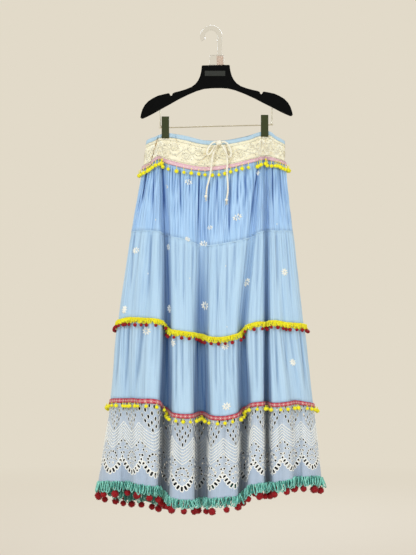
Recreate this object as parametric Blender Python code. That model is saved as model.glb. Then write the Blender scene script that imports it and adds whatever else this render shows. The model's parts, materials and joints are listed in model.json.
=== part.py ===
# A tiered midi skirt hanging from a clip hanger.
# The frame's origin is the inside top of the hanger's hook, +Z up, front towards -Y.
# Lengths in this script are millimetres until a mesh is made.
import math
import bpy
import numpy as np
from mathutils import Vector
from mathutils.geometry import delaunay_2d_cdt

for old in list(bpy.data.objects):
    bpy.data.objects.remove(old)

MM = 0.001
PIECE_GAP = 0.3          # between pieces that lie on each other, and at the side seams
SEAM_GAP = 0.55           # between rings at the sloping seams round the skirt
CLOTH = 1.4              # thickness of a cloth wall
POMPOM_CLEAR = 3.9       # from the middle of the cloth to a pompom's near side

# Level positions down the skirt: 0 waist edge, 1 foot of the waist trim, 2 yoke seam,
# 3 middle of the loop trim, 4 top of the border braid, 5 hem.
TIER_HEIGHT = (70, 178, 227, 193, 205)
LEVEL_HEIGHT = (0, 70, 248, 475, 668, 873)
SIDE_EDGE = {
    "left": (-161, -170, -198, -232, -250, -282),
    "right": (184, 185, 204, 232, 255, 275),
}
BULGE = {
    "front": (14, 25, 46, 63, 79, 100),
    "back": (12, 22, 40, 54, 66, 80),
}
ROUNDNESS = 2.6          # exponent of the plan outline, 2 is an ellipse

# One row for each lengthwise fold: its middle, its depth and its half width at each level.
FOLDS = {
    "front": (
        dict(name="left soft", x=(-142, -153, -184, -206, -205, -207),
             depth=(0, 4, 8, 10, 13, 18), half=(8, 8, 12, 14, 14, 13)),
        dict(name="left crease", x=(-132, -137, -149, -168, -180, -164),
             depth=(0, 2, 5, 8, 8, 5), half=(8, 8, 9, 10, 10, 10)),
        dict(name="left clip", x=(-114, -120, -112, -109, -111, -117),
             depth=(10.4, 14, 26, 36, 46, 54), half=(26, 11, 9, 10, 13, 12)),
        dict(name="centre", x=(-15, -17, -22, -25, -23, -24),
             depth=(0, 2, 18, 34, 46, 54), half=(14, 12, 13, 16, 17, 14)),
        dict(name="right slanting", x=(92, 116, 102, 79, 83, 78),
             depth=(0, 6, 16, 28, 40, 44), half=(12, 7, 9, 10, 13, 10)),
        dict(name="right clip", x=(134, 137, 137, 137, 138, 140),
             depth=(10.6, 14, 22, 30, 38, 42), half=(26, 11, 7, 7, 8, 8)),
        dict(name="right soft", x=(162, 164, 171, 185, 209, 212),
             depth=(0, 2, 4, 6, 15, 22), half=(9, 10, 12, 13, 12, 10)),
    ),
    "back": (
        dict(name="left outer", x=(-140, -150, -170, -196, -206, -214),
             depth=(0, 3, 8, 16, 26, 34), half=(9, 9, 12, 13, 13, 13)),
        dict(name="left clip", x=(-114, -118, -122, -126, -128, -134),
             depth=(8.8, 12, 18, 26, 34, 42), half=(26, 12, 12, 13, 14, 14)),
        dict(name="left inner", x=(-50, -52, -54, -56, -60, -62),
             depth=(0, 2, 10, 22, 34, 44), half=(14, 14, 14, 15, 16, 16)),
        dict(name="right inner", x=(30, 32, 36, 38, 38, 40),
             depth=(0, 2, 8, 20, 32, 42), half=(14, 14, 14, 15, 16, 16)),
        dict(name="right clip", x=(134, 136, 134, 132, 132, 134),
             depth=(8.9, 12, 16, 24, 34, 42), half=(26, 12, 12, 12, 13, 13)),
        dict(name="right outer", x=(160, 164, 176, 190, 204, 212),
             depth=(0, 3, 8, 14, 20, 28), half=(9, 9, 12, 13, 13, 13)),
    ),
}

# One row for each lengthwise line: how far below the hook it lies at each level.
# The lines are the side edge, then crests and folds by turns, and the other side edge.
DROPS = {
    "front": (
        (277, 351, 506, 736, 924, 1131),
        (271, 347, 504, 727, 917, 1121),
        (267, 341, 502, 721, 916, 1120),
        (265, 333, 502, 721, 915, 1122),
        (262, 325, 502, 722, 916, 1127),
        (259, 324, 505, 725, 917, 1130),
        (256, 329, 512, 744, 939, 1145),
        (264, 345, 522, 754, 952, 1160),
        (276, 353, 539, 762, 949, 1162),
        (276, 345, 532, 769, 957, 1155),
        (266, 328, 517, 750, 937, 1146),
        (257, 325, 505, 732, 923, 1122),
        (252, 325, 502, 734, 924, 1124),
        (253, 327, 502, 728, 925, 1117),
        (264, 331, 502, 733, 921, 1109),
        (271, 335, 502, 736, 927, 1109),
        (278, 339, 504, 741, 934, 1120),
    ),
    "back": (
        (277, 351, 506, 736, 924, 1131),
        (270, 345, 507, 742, 936, 1150),
        (266, 340, 508, 744, 940, 1160),
        (261, 334, 509, 745, 942, 1166),
        (256, 330, 510, 746, 944, 1168),
        (263, 338, 516, 750, 948, 1166),
        (271, 346, 521, 753, 949, 1160),
        (274, 349, 524, 753, 947, 1153),
        (274, 349, 523, 751, 944, 1146),
        (265, 340, 517, 746, 939, 1138),
        (252, 327, 510, 741, 934, 1130),
        (256, 329, 508, 739, 931, 1125),
        (264, 333, 506, 738, 930, 1122),
        (271, 336, 505, 739, 931, 1121),
        (278, 339, 504, 741, 934, 1120),
    ),
}

# Small gathers under each seam, for each half of the skirt.
GATHERS = {
    1: dict(waves=40, height=1.7),
    2: dict(waves=24, height=1.5),
    3: dict(waves=24, height=1.9),
}
COLUMNS = {"waist": 40, "yoke": 80, "tier": 48}


def through_levels(values, level):
    """A smooth value at a level position, from one value for each level."""
    step = min(max(int(math.floor(level)), 0), 4)
    part = level - step

    def slope(index):
        before = max(index - 1, 0)
        after = min(index + 1, 5)
        return (values[after] - values[before]) / (LEVEL_HEIGHT[after] - LEVEL_HEIGHT[before])

    rise = TIER_HEIGHT[step]
    start, end = values[step], values[step + 1]
    enter, leave = slope(step) * rise, slope(step + 1) * rise
    square, cube = part * part, part ** 3
    return ((2 * cube - 3 * square + 1) * start + (cube - 2 * square + part) * enter
            + (3 * square - 2 * cube) * end + (cube - square) * leave)


plan_cache = {}
fold_places = {}


def plan(half, level):
    """The plan outline of one half at a level: position along it, x, outward y and normal."""
    key = (half, round(level, 5))
    if key in plan_cache:
        return plan_cache[key]
    left = through_levels(SIDE_EDGE["left"], level)
    right = through_levels(SIDE_EDGE["right"], level)
    bulge = through_levels(BULGE[half], level)
    turn = np.linspace(0.0, math.pi, 1201)
    reach = (right - left) / 2
    x = (left + right) / 2 - reach * np.cos(turn)
    inward = np.abs(np.cos(turn))
    out = bulge * (1 - inward ** ROUNDNESS) ** (1 / ROUNDNESS)
    side_fade = 1 - inward ** 10
    for fold in FOLDS[half]:
        away = (x - through_levels(fold["x"], level)) / through_levels(fold["half"], level)
        out -= through_levels(fold["depth"], level) * side_fade / (1 + away ** 4)
    length = np.concatenate(([0.0], np.cumsum(np.hypot(np.diff(x), np.diff(out)))))
    fold_x = [through_levels(fold["x"], level) for fold in FOLDS[half]]
    fold_length = np.interp(fold_x, x, length)
    if half not in fold_places:
        if level == 5:
            fold_places[half] = fold_length / length[-1]
        else:
            plan(half, 5)
    place = np.interp(length, [0, *fold_length, length[-1]], [0, *fold_places[half], 1])
    along_x, along_out = np.gradient(x), np.gradient(out)
    size = np.hypot(along_x, along_out)
    result = dict(place=place, x=x, out=out, nx=-along_out / size, nout=along_x / size, length=length[-1])
    plan_cache[key] = result
    return result


def drop_at(half, place, level):
    """How far below the hook the cloth lies."""
    if half not in fold_places:
        plan(half, 5)
    knots = [0.0, *fold_places[half], 1.0]
    nodes = [0.0]
    for start, end in zip(knots, knots[1:]):
        nodes += [(start + end) / 2, end]
    step = min(int(level), 4)
    part = level - step
    values = [row[step] + (row[step + 1] - row[step]) * part for row in DROPS[half]]
    index = min(max(int(np.searchsorted(nodes, place)) - 1, 0), len(nodes) - 2)
    width = nodes[index + 1] - nodes[index]
    share = (place - nodes[index]) / width

    def slope(spot):
        before, after = max(spot - 1, 0), min(spot + 1, len(nodes) - 1)
        return (values[after] - values[before]) / (nodes[after] - nodes[before]) * width

    square, cube = share * share, share ** 3
    return ((2 * cube - 3 * square + 1) * values[index] + (cube - 2 * square + share) * slope(index)
            + (3 * square - 2 * cube) * values[index + 1] + (cube - square) * slope(index + 1))


def gather_at(place, level):
    """The small gathers' height, deepest a little under the seam that they are sewn into."""
    step = int(level + 1e-6)
    if step not in GATHERS:
        return 0.0
    part = level - step
    rise = 0.35 + 0.65 * min(1.0, max(part, 0.0) / 0.12)
    wave = GATHERS[step]["waves"] * place
    uneven = 0.72 + 0.28 * math.sin(2.3 * math.floor(wave + 0.25) + step)
    return GATHERS[step]["height"] * uneven * rise * (1 - part) ** 1.2 * math.cos(2 * math.pi * wave)


def cloth_point(half, place, level, out=0.0, gathered=True):
    """A point of the skirt, moved outwards from the middle of its cloth."""
    ring = plan(half, level)
    x = np.interp(place, ring["place"], ring["x"])
    y = np.interp(place, ring["place"], ring["out"])
    nx = np.interp(place, ring["place"], ring["nx"])
    ny = np.interp(place, ring["place"], ring["nout"])
    size = math.hypot(nx, ny)
    if gathered:
        out = out + gather_at(place, level)
    x += out * nx / size
    y += out * ny / size
    side = -1 if half == "front" else 1
    return Vector((x, side * y, -drop_at(half, place, level)))


def lower(level, distance):
    """A level position moved down the cloth by a distance."""
    height = np.interp(level, range(6), LEVEL_HEIGHT) + distance
    return float(np.interp(height, LEVEL_HEIGHT, range(6)))


def material(name, colour, roughness=0.9, metallic=0.0):
    made = bpy.data.materials.new(name)
    made.use_nodes = True
    shader = made.node_tree.nodes["Principled BSDF"]
    shader.inputs["Base Color"].default_value = (*colour, 1)
    shader.inputs["Roughness"].default_value = roughness
    shader.inputs["Metallic"].default_value = metallic
    made.diffuse_color = (*colour, 1)
    return made


def add_object(name, points, faces, finish):
    mesh = bpy.data.meshes.new(name)
    mesh.from_pydata([Vector(point) * MM for point in points], [], faces)
    mesh.materials.append(finish)
    mesh.update()
    made = bpy.data.objects.new(name, mesh)
    bpy.context.collection.objects.link(made)
    return made


def wall(name, flat, triangles, shape, finish):
    """A closed wall over a flat pattern. shape(point, face) places a point on face 1 or -1."""
    count = len(flat)
    points = [shape(point, 1) for point in flat] + [shape(point, -1) for point in flat]
    faces = [tuple(triangle) for triangle in triangles]
    faces += [tuple(count + corner for corner in reversed(triangle)) for triangle in triangles]
    used = set()
    for triangle in triangles:
        for start, end in zip(triangle, (*triangle[1:], triangle[0])):
            used.add((start, end))
    for start, end in used:
        if (end, start) not in used:
            faces.append((end, start, count + start))
            faces.append((end, count + start, count + end))
    return add_object(name, points, faces, finish)


def grid(columns):
    """Flat pattern of a plain panel: points as (column share, row share) and its triangles."""
    flat = [(column / columns, row) for row in range(2) for column in range(columns + 1)]
    triangles = []
    for column in range(columns):
        below = column + columns + 1
        triangles += [(column, below, below + 1), (column, below + 1, column + 1)]
    return flat, triangles


def side_share(half, level, share):
    """Keeps a panel's sides half a gap away from the side seams."""
    margin = PIECE_GAP / 2 / plan(half, level)["length"]
    return margin + share * (1 - 2 * margin)


def panel(name, half, top, bottom, columns, thickness, finish):
    """A plain panel of cloth between two level positions."""
    flat, triangles = grid(columns)

    def shape(point, face):
        level = top + (bottom - top) * point[1]
        place = side_share(half, level, point[0])
        return cloth_point(half, place, level, face * thickness / 2)

    if half == "back":
        triangles = [tuple(reversed(triangle)) for triangle in triangles]
    return wall(name, flat, triangles, shape, finish)


# Tapes on the cloth, their pompoms' radius and the stems that these hang on. inner is from the
# middle of the cloth to the tape's near side, lobes is how far its lower edge goes up and down.
TRIMS = {
    "waist_trim": dict(height=9, inner=3.6, thickness=1.3, lobes=0.0, count=24, radius=4.8, stem=0.8),
    "loop_trim": dict(height=17, inner=3.2, thickness=4.5, lobes=0.0, count=28, radius=4.5, stem=0.6),
    "border_braid": dict(height=11, inner=2.8, thickness=1.5, lobes=0.0, count=36, radius=4.7, stem=0.8),
    "hem_fringe": dict(height=18, inner=-1.6, thickness=3.2, lobes=5.0, count=28, radius=8.2, stem=1.5),
}
SMALLEST_POMPOM = 1.6    # radius under which a pompom in a fold is left out


def trim(kind, half, top, columns, finish):
    """A tape on the cloth with pompoms whose roots are fused into its lower edge."""
    sizes = TRIMS[kind]
    height, inner, thickness = sizes["height"], sizes["inner"], sizes["thickness"]
    points, faces = [], []
    bottom = lower(top, height)

    def add(point):
        points.append(point)
        return len(points) - 1

    rows = []
    for column in range(columns + 1):
        place = side_share(half, min(top, 5), column / columns)
        drop = height + (sizes["lobes"] if column % 2 else 0.0)
        corners = []
        for out in (inner + thickness, inner):
            upper = cloth_point(half, place, top, out, gathered=False)
            if top < 5:
                under = cloth_point(half, place, bottom, out, gathered=False)
            else:
                upper.z -= SEAM_GAP
                under = upper - Vector((0, 0, drop))
            corners.append((add(upper), add(under)))
        rows.append(corners)
    flip = half == "back"

    def face(*corners):
        faces.append(tuple(reversed(corners)) if flip else tuple(corners))

    roots = {}
    for index in range(sizes["count"]):
        centre = (index + 0.5) / sizes["count"]
        roots[int(centre * columns)] = centre
    for column in range(columns):
        (a_up, a_low), (a_in, a_inlow) = rows[column]
        (b_up, b_low), (b_in, b_inlow) = rows[column + 1]
        face(a_up, a_low, b_low, b_up)
        face(a_in, b_in, b_inlow, a_inlow)
        face(a_up, b_up, b_in, a_in)
        root = (a_low, a_inlow, b_inlow, b_low)
        radius = 0.0
        if column in roots:
            place = roots[column]
            clear = max(inner + thickness / 2, POMPOM_CLEAR + sizes["radius"])
            radius = sizes["radius"]
            if top < 5:
                radius = pompom_size(half, place, bottom, clear, radius)
        if radius < SMALLEST_POMPOM:
            face(*root)
            continue
        level = min(bottom, 5)
        centre = cloth_point(half, place, level, clear, gathered=False)
        if top >= 5:
            centre = cloth_point(half, place, 5, inner + thickness / 2, gathered=False)
            centre.z -= height
        ring = plan(half, level)
        tangent = Vector((np.interp(place, ring["place"], ring["nout"]),
                          (1 if half == "front" else -1) * np.interp(place, ring["place"], ring["nx"]), 0))
        tangent.normalize()
        normal = Vector((tangent.y, -tangent.x, 0)) * (1 if half == "front" else -1)
        last = root
        middle = centre - Vector((0, 0, sizes["stem"] + radius))
        widest = (add(middle - tangent * radius + normal * radius * 0.8),
                  add(middle - tangent * radius - normal * radius * 0.8),
                  add(middle + tangent * radius - normal * radius * 0.8),
                  add(middle + tangent * radius + normal * radius * 0.8))
        tip = add(centre - Vector((0, 0, sizes["stem"] + 2 * radius)))
        for start in range(4):
            end = (start + 1) % 4
            face(root[start], root[end], widest[end], widest[start])
            face(widest[start], widest[end], tip)
    first, final = rows[0], rows[-1]
    face(first[0][0], first[1][0], first[1][1], first[0][1])
    face(final[0][0], final[0][1], final[1][1], final[1][0])
    return add_object(kind + "_" + half, points, faces, finish)


def pompom_size(half, place, level, out, radius):
    """The largest size that a pompom may have so far from the cloth, between the walls of a fold."""
    ring = plan(half, level)
    here = np.array([np.interp(place, ring["place"], ring["x"]), np.interp(place, ring["place"], ring["out"])])
    way = np.array([np.interp(place, ring["place"], ring["nx"]), np.interp(place, ring["place"], ring["nout"])])
    way = way / np.hypot(*way)
    line = np.stack([ring["x"], ring["out"]], axis=1)
    apart = line - here
    ahead = apart @ way
    aside = np.abs(apart @ np.array([-way[1], way[0]]))
    blocked = (ahead > 2.0) & (aside < 3.0)
    width = float(ahead[blocked].min()) if blocked.any() else 100.0
    nearest = float(np.hypot(*(line - here - way * out).T).min())
    return min(radius, width / 4 - 1.2, (nearest - POMPOM_CLEAR) / 1.1)


LIGHT_BLUE = (0.47, 0.66, 0.88)
YOKE_BLUE = (0.28, 0.48, 0.80)
BINDING_BLUE = (0.40, 0.62, 0.79)
BORDER_BLUE = (0.60, 0.70, 0.80)
CREAM = (0.92, 0.86, 0.68)
PINK = (0.77, 0.43, 0.53)
YELLOW = (1.0, 0.86, 0.02)
RASPBERRY = (0.58, 0.05, 0.10)
TEAL = (0.05, 0.47, 0.34)

finishes = {
    "binding": material("binding cotton", BINDING_BLUE),
    "lace": material("cream lace", CREAM),
    "yoke": material("yoke cotton", YOKE_BLUE),
    "tier": material("tier cotton", LIGHT_BLUE),
    "border": material("eyelet cotton", BORDER_BLUE),
    "pink": material("pink braid", PINK),
    "yellow": material("yellow yarn", YELLOW),
    "raspberry": material("raspberry braid", RASPBERRY),
    "teal": material("teal loops", TEAL),
    "cord": material("cream cord", CREAM),
    "acrylic": material("clear acrylic", (0.85, 0.88, 0.88), 0.08),
    "black": material("black flocking", (0.004, 0.004, 0.004), 0.8),
    "rail": material("rail metal", (0.72, 0.66, 0.55), 0.3, 1.0),
    "clip": material("clip metal", (0.035, 0.04, 0.012), 0.5),
}

# Waist

BINDING_HEIGHT = 9.5
BINDING_THICK = 1.8
LACE_THICK = 1.4
SEAM_TUCK = 4.5          # the yoke's top lies this far above the waist trim's foot


def make_waist(half):
    waist_columns = COLUMNS["waist"]
    binding_foot = BINDING_HEIGHT / TIER_HEIGHT[0]
    lace_top = (BINDING_HEIGHT + SEAM_GAP) / TIER_HEIGHT[0]
    lace_foot = 1 - (SEAM_TUCK + SEAM_GAP * 1.6) / TIER_HEIGHT[0]
    panel("waist_binding_" + half, half, 0.0, binding_foot, waist_columns, BINDING_THICK, finishes["binding"])
    panel("lace_waistband_" + half, half, lace_top, lace_foot, waist_columns, LACE_THICK, finishes["lace"])
    trim("waist_trim", half, lower(1, -TRIMS["waist_trim"]["height"]), waist_columns, finishes["pink"])


# Panels

def make_panels(half):
    tier_columns = COLUMNS["tier"]
    gap = SEAM_GAP / 2
    panel("yoke_" + half, half, 1 - SEAM_TUCK / TIER_HEIGHT[0], lower(2, -gap), COLUMNS["yoke"], CLOTH,
          finishes["yoke"])
    panel("tier_one_" + half, half, lower(2, gap), lower(3, -gap), tier_columns, CLOTH,
          finishes["tier"])
    panel("tier_two_" + half, half, lower(3, gap), lower(BORDER_TOP, -gap), tier_columns, CLOTH,
          finishes["tier"])


# Trims of the tiers

BORDER_TUCK = 5.0       # the border's top lies this far under the braid's top
BORDER_TOP = lower(4, BORDER_TUCK)


def make_trims(half):
    tier_columns = COLUMNS["tier"]
    trim("loop_trim", half, lower(3, -TRIMS["loop_trim"]["height"] / 2), tier_columns, finishes["yellow"])
    trim("border_braid", half, 4.0, tier_columns, finishes["raspberry"])


# Eyelet border: a ladder of bar holes along scallops, cut through

SCALLOPS = {"front": 14, "back": 13}
SCALLOP_SHIFT = 0.584    # share of a scallop between the side seam and the first cusp
LADDER_FOOT = 26         # middle of the ladder above the hem, at a scallop's bottom
LADDER_CUSP = 62         # and at its cusps
BARS = 10
BAR_LENGTH = (6.6, 10.2)  # at the cusps, at the bottom
BAR_WIDTH = (4.2, 5.2)


def ladder_bars(pitch):
    """Bars of one scallop from its left cusp: centre and half axes, in millimetres."""
    samples = 400
    across = [pitch * index / samples for index in range(samples + 1)]
    up = [LADDER_CUSP - (LADDER_CUSP - LADDER_FOOT) * math.sin(math.pi * a / pitch) ** 0.9 for a in across]
    length = [0.0]
    for index in range(samples):
        length.append(length[-1] + math.hypot(across[index + 1] - across[index], up[index + 1] - up[index]))
    bars = []
    for bar in range(BARS):
        target = length[-1] * bar / BARS
        a, b = np.interp(target, length, across), np.interp(target, length, up)
        grow = math.sin(math.pi * bar / BARS)
        long = BAR_LENGTH[0] + (BAR_LENGTH[1] - BAR_LENGTH[0]) * grow
        wide = BAR_WIDTH[0] + (BAR_WIDTH[1] - BAR_WIDTH[0]) * grow
        if bar == 0:
            bars.append((a, b, (wide / 2, 0.0), (0.0, wide * 0.6)))
            continue
        ahead = np.interp(target + 1, length, across) - np.interp(target - 1, length, across)
        rise = np.interp(target + 1, length, up) - np.interp(target - 1, length, up)
        size = math.hypot(ahead, rise)
        tangent = (ahead / size, rise / size)
        bars.append((a, b, (tangent[0] * wide / 2, tangent[1] * wide / 2),
                     (-tangent[1] * long / 2, tangent[0] * long / 2)))
    return bars


def make_border(half):
    """The flat pattern with its holes is filled with triangles, then draped."""
    width = plan(half, 5)["length"]
    height = TIER_HEIGHT[4] - BORDER_TUCK - SEAM_GAP / 2
    columns = COLUMNS["tier"]
    pitch = width / SCALLOPS[half]
    points, edges = [], []

    def loop(corners):
        first = len(points)
        points.extend(corners)
        count = len(corners)
        edges.extend((first + index, first + (index + 1) % count) for index in range(count))

    foot = [(width * column / columns, 0.0) for column in range(columns + 1)]
    head = [(width * column / columns, height) for column in range(columns, -1, -1)]
    loop(foot + head)
    holes = []
    shift = SCALLOP_SHIFT * pitch
    for scallop in range(-1, SCALLOPS[half] + 1):
        for a, b, half_wide, half_long in ladder_bars(pitch):
            middle = (shift + scallop * pitch + a, b)
            if not 3.5 < middle[0] < width - 3.5:
                continue
            loop([(middle[0] + half_wide[0] * s + half_long[0] * t,
                   middle[1] + half_wide[1] * s + half_long[1] * t)
                  for s, t in ((-1, -1), (1, -1), (1, 1), (-1, 1))])
            holes.append((middle, half_wide, half_long))
    points.extend((width * (column + 0.5) / columns, 0.52 * height) for column in range(columns))
    filled = delaunay_2d_cdt([Vector(point) for point in points], edges, [], 0, 1e-4)
    flat, triangles = filled[0], filled[2]

    def in_hole(triangle):
        a = sum(flat[corner].x for corner in triangle) / 3
        b = sum(flat[corner].y for corner in triangle) / 3
        for middle, wide, long in holes:
            da, db = a - middle[0], b - middle[1]
            s = (da * wide[0] + db * wide[1]) / (wide[0] ** 2 + wide[1] ** 2)
            t = (da * long[0] + db * long[1]) / (long[0] ** 2 + long[1] ** 2)
            if abs(s) < 1 and abs(t) < 1:
                return True
        return False

    kept = [tuple(triangle) for triangle in triangles if not in_hole(triangle)]
    if half == "back":
        kept = [tuple(reversed(triangle)) for triangle in kept]

    def shape(point, face):
        level = 5 - point[1] / TIER_HEIGHT[4]
        place = side_share(half, level, min(max(point[0] / width, 0), 1))
        return cloth_point(half, place, level, face * CLOTH / 2, gathered=False)

    wall("eyelet_border_" + half, flat, kept, shape, finishes["border"])


# Hem fringe: teal loops with large pompoms on short stems

def make_fringe(half):
    trim("hem_fringe", half, 5.0, COLUMNS["tier"], finishes["teal"])


# Hanger

HANGER_MIDDLE = (11.7, -87)     # x and z of the neck's top
HANGER_TILT = math.radians(1.0)
HANGER_THICK = 12
# Outline of the right half, from the neck's top round the shoulder to the middle of the underside:
# distance from the middle, distance below the neck's top.
HANGER_OUTLINE = ((35, 0), (37, 26), (50, 47), (76, 59), (106, 66), (112, 75), (119, 68), (145, 73),
                  (172, 88), (187, 112), (190, 130), (165, 121), (140, 108), (95, 84), (45, 63))
HANGER_ARCH = 57


def make_hanger_body():
    right = list(HANGER_OUTLINE)
    left = [(-across, down) for across, down in reversed(right)]
    outline = right + [(0, HANGER_ARCH)] + left
    tilt_cos, tilt_sin = math.cos(HANGER_TILT), math.sin(HANGER_TILT)
    placed = []
    for across, down in outline:
        placed.append((HANGER_MIDDLE[0] + across * tilt_cos + down * tilt_sin,
                       HANGER_MIDDLE[1] - down * tilt_cos + across * tilt_sin))
    count = len(placed)
    points = [(x, -HANGER_THICK / 2, z) for x, z in placed] + [(x, HANGER_THICK / 2, z) for x, z in placed]
    faces = [tuple(reversed(range(count))), tuple(range(count, 2 * count))]
    faces += [(index, (index + 1) % count, count + (index + 1) % count, count + index)
              for index in range(count)]
    made = add_object("hanger_body", points, faces, finishes["black"])
    soften = made.modifiers.new("rounded edges", "BEVEL")
    soften.width = 2.5 * MM
    soften.segments = 1
    soften.limit_method = "ANGLE"
    soften.angle_limit = math.radians(50)


HOOK_RADIUS = 21.5       # to the middle of the band
HOOK_BAND = (13, 8)      # width in the hook's plane, depth
HOOK_CENTRE_Z = -15
COLLAR = dict(x=(-4, 33), z=(-61, -86.2), depth=14)


def make_hook():
    """A flat band bent round, its shank widened into a collar on the hanger's neck."""
    path = []
    for step in range(13):
        angle = math.radians(205 - 205 * step / 12)
        path.append((HOOK_RADIUS * math.cos(angle), HOOK_CENTRE_Z + HOOK_RADIUS * math.sin(angle),
                     math.cos(angle), math.sin(angle), HOOK_BAND[0] / 2, HOOK_BAND[1] / 2))
    shank = HOOK_RADIUS
    path.append((shank, -59, 1, 0, HOOK_BAND[0] / 2, HOOK_BAND[1] / 2))
    collar_middle = sum(COLLAR["x"]) / 2
    collar_half = (COLLAR["x"][1] - COLLAR["x"][0]) / 2
    path.append((collar_middle, COLLAR["z"][0] - 2, 1, 0, collar_half - 2, COLLAR["depth"] / 2 - 2))
    path.append((collar_middle, COLLAR["z"][0] - 5, 1, 0, collar_half, COLLAR["depth"] / 2))
    path.append((collar_middle, COLLAR["z"][1], 1, 0, collar_half, COLLAR["depth"] / 2))
    points, faces = [], []
    for x, z, nx, nz, half_wide, half_deep in path:
        chamfer = 2.0
        for across, deep in ((-1, -1), (1, -1), (1, 1), (-1, 1)):
            for inset in ((0, chamfer), (chamfer, 0)) if across * deep > 0 else ((chamfer, 0), (0, chamfer)):
                size = across * (half_wide - inset[0])
                points.append((x + nx * size, deep * (half_deep - inset[1]), z + nz * size))
    ring = 8
    for step in range(len(path) - 1):
        for corner in range(ring):
            a = step * ring + corner
            b = step * ring + (corner + 1) % ring
            faces.append((a, a + ring, b + ring, b))
    faces.append(tuple(range(ring)))
    last = (len(path) - 1) * ring
    faces.append(tuple(reversed(range(last, last + ring))))
    add_object("hook", points, faces, finishes["acrylic"])


def smooth_route(route, spacing):
    """Points at an even spacing on a smooth curve through the route."""
    route = [Vector(point) for point in route]
    fine = []
    for index in range(len(route) - 1):
        before = route[max(index - 1, 0)]
        start, end = route[index], route[index + 1]
        after = route[min(index + 2, len(route) - 1)]
        for step in range(12):
            t = step / 12
            fine.append(0.5 * ((2 * start) + (end - before) * t
                               + (2 * before - 5 * start + 4 * end - after) * t * t
                               + (3 * start - before - 3 * end + after) * t ** 3))
    fine.append(route[-1])
    lengths = [0.0]
    for a, b in zip(fine, fine[1:]):
        lengths.append(lengths[-1] + (b - a).length)
    count = max(2, round(lengths[-1] / spacing))
    result = []
    for step in range(count + 1):
        target = lengths[-1] * step / count
        index = min(max(int(np.searchsorted(lengths, target)) - 1, 0), len(fine) - 2)
        share = (target - lengths[index]) / max(lengths[index + 1] - lengths[index], 1e-9)
        result.append(fine[index].lerp(fine[index + 1], share))
    return result


def tube(name, route, diameter, finish, spacing):
    curve = bpy.data.curves.new(name, "CURVE")
    curve.dimensions = "3D"
    curve.bevel_depth = diameter / 2 * MM
    curve.bevel_resolution = 2
    curve.use_fill_caps = True
    points = smooth_route(route, spacing)
    spline = curve.splines.new("POLY")
    spline.points.add(len(points) - 1)
    for spot, point in zip(spline.points, points):
        spot.co = (*(point * MM), 1)
    curve.materials.append(finish)
    made = bpy.data.objects.new(name, curve)
    bpy.context.collection.objects.link(made)
    return made


RAIL_WIRE = 2.8
RAIL_TOP = {"left": (-127, -198.6), "right": (152.5, -193.6)}
RAIL_BAR_Z = {"left": -243, "right": -236}
CLIP_WIDTH = 18.5
JAW_GAP = 4.5            # from the clip's middle plane to a jaw
CLIPS = {"left": dict(x=-114, top=-215, foot=-270), "right": dict(x=134, top=-211, foot=-266)}


def make_rail():
    left, right = RAIL_TOP["left"], RAIL_TOP["right"]
    low_left, low_right = RAIL_BAR_Z["left"], RAIL_BAR_Z["right"]
    route = [(left[0], 0, left[1]), (left[0], 0, left[1] - 20), (left[0], 0, low_left + 8),
             (left[0] + 2.5, 0, low_left + 2.5), (left[0] + 8, 0, low_left),
             (12, 0, (low_left + low_right) / 2), (right[0] - 8, 0, low_right),
             (right[0] - 2.5, 0, low_right + 2.5), (right[0], 0, low_right + 8),
             (right[0], 0, right[1] - 20), (right[0], 0, right[1])]
    tube("hanger_rail", route, RAIL_WIRE, finishes["rail"], 17)


def bar_height(x):
    left, right = RAIL_TOP["left"][0] + 8, RAIL_TOP["right"][0] - 8
    share = (x - left) / (right - left)
    return RAIL_BAR_Z["left"] + share * (RAIL_BAR_Z["right"] - RAIL_BAR_Z["left"])


def make_clip(side):
    """A folded clip: it hangs on the rail's bar and its two jaws hold the waist."""
    clip = CLIPS[side]
    bar = bar_height(clip["x"])
    over = bar + RAIL_WIRE / 2 + 0.9
    profile = [(-3.0, clip["top"]), (-5.2, clip["top"] - 4), (-5.2, bar), (-6.6, clip["foot"] + 8),
               (-6.6, clip["foot"]), (-JAW_GAP, clip["foot"]), (-JAW_GAP, bar - 5), (-2.2, bar - 2), (-2.2, over),
               (2.2, over), (2.2, bar - 2), (JAW_GAP, bar - 5), (JAW_GAP, clip["foot"]), (6.6, clip["foot"]),
               (6.6, clip["foot"] + 8), (5.2, bar), (5.2, clip["top"] - 4), (3.0, clip["top"])]
    count = len(profile)
    left, right = clip["x"] - CLIP_WIDTH / 2, clip["x"] + CLIP_WIDTH / 2
    points = [(left, y, z) for y, z in profile] + [(right, y, z) for y, z in profile]
    faces = [tuple(reversed(range(count))), tuple(range(count, 2 * count))]
    faces += [(index, (index + 1) % count, count + (index + 1) % count, count + index)
              for index in range(count)]
    add_object("clip_" + side, points, faces, finishes["clip"])


# Drawstring at the front: a knot over the eyelets, two loops and two tails

CORD = 4.8
KNOT = dict(x=19.5, y=-23.2, z=-283, size=(8.2, 7.0, 7.0))
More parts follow.
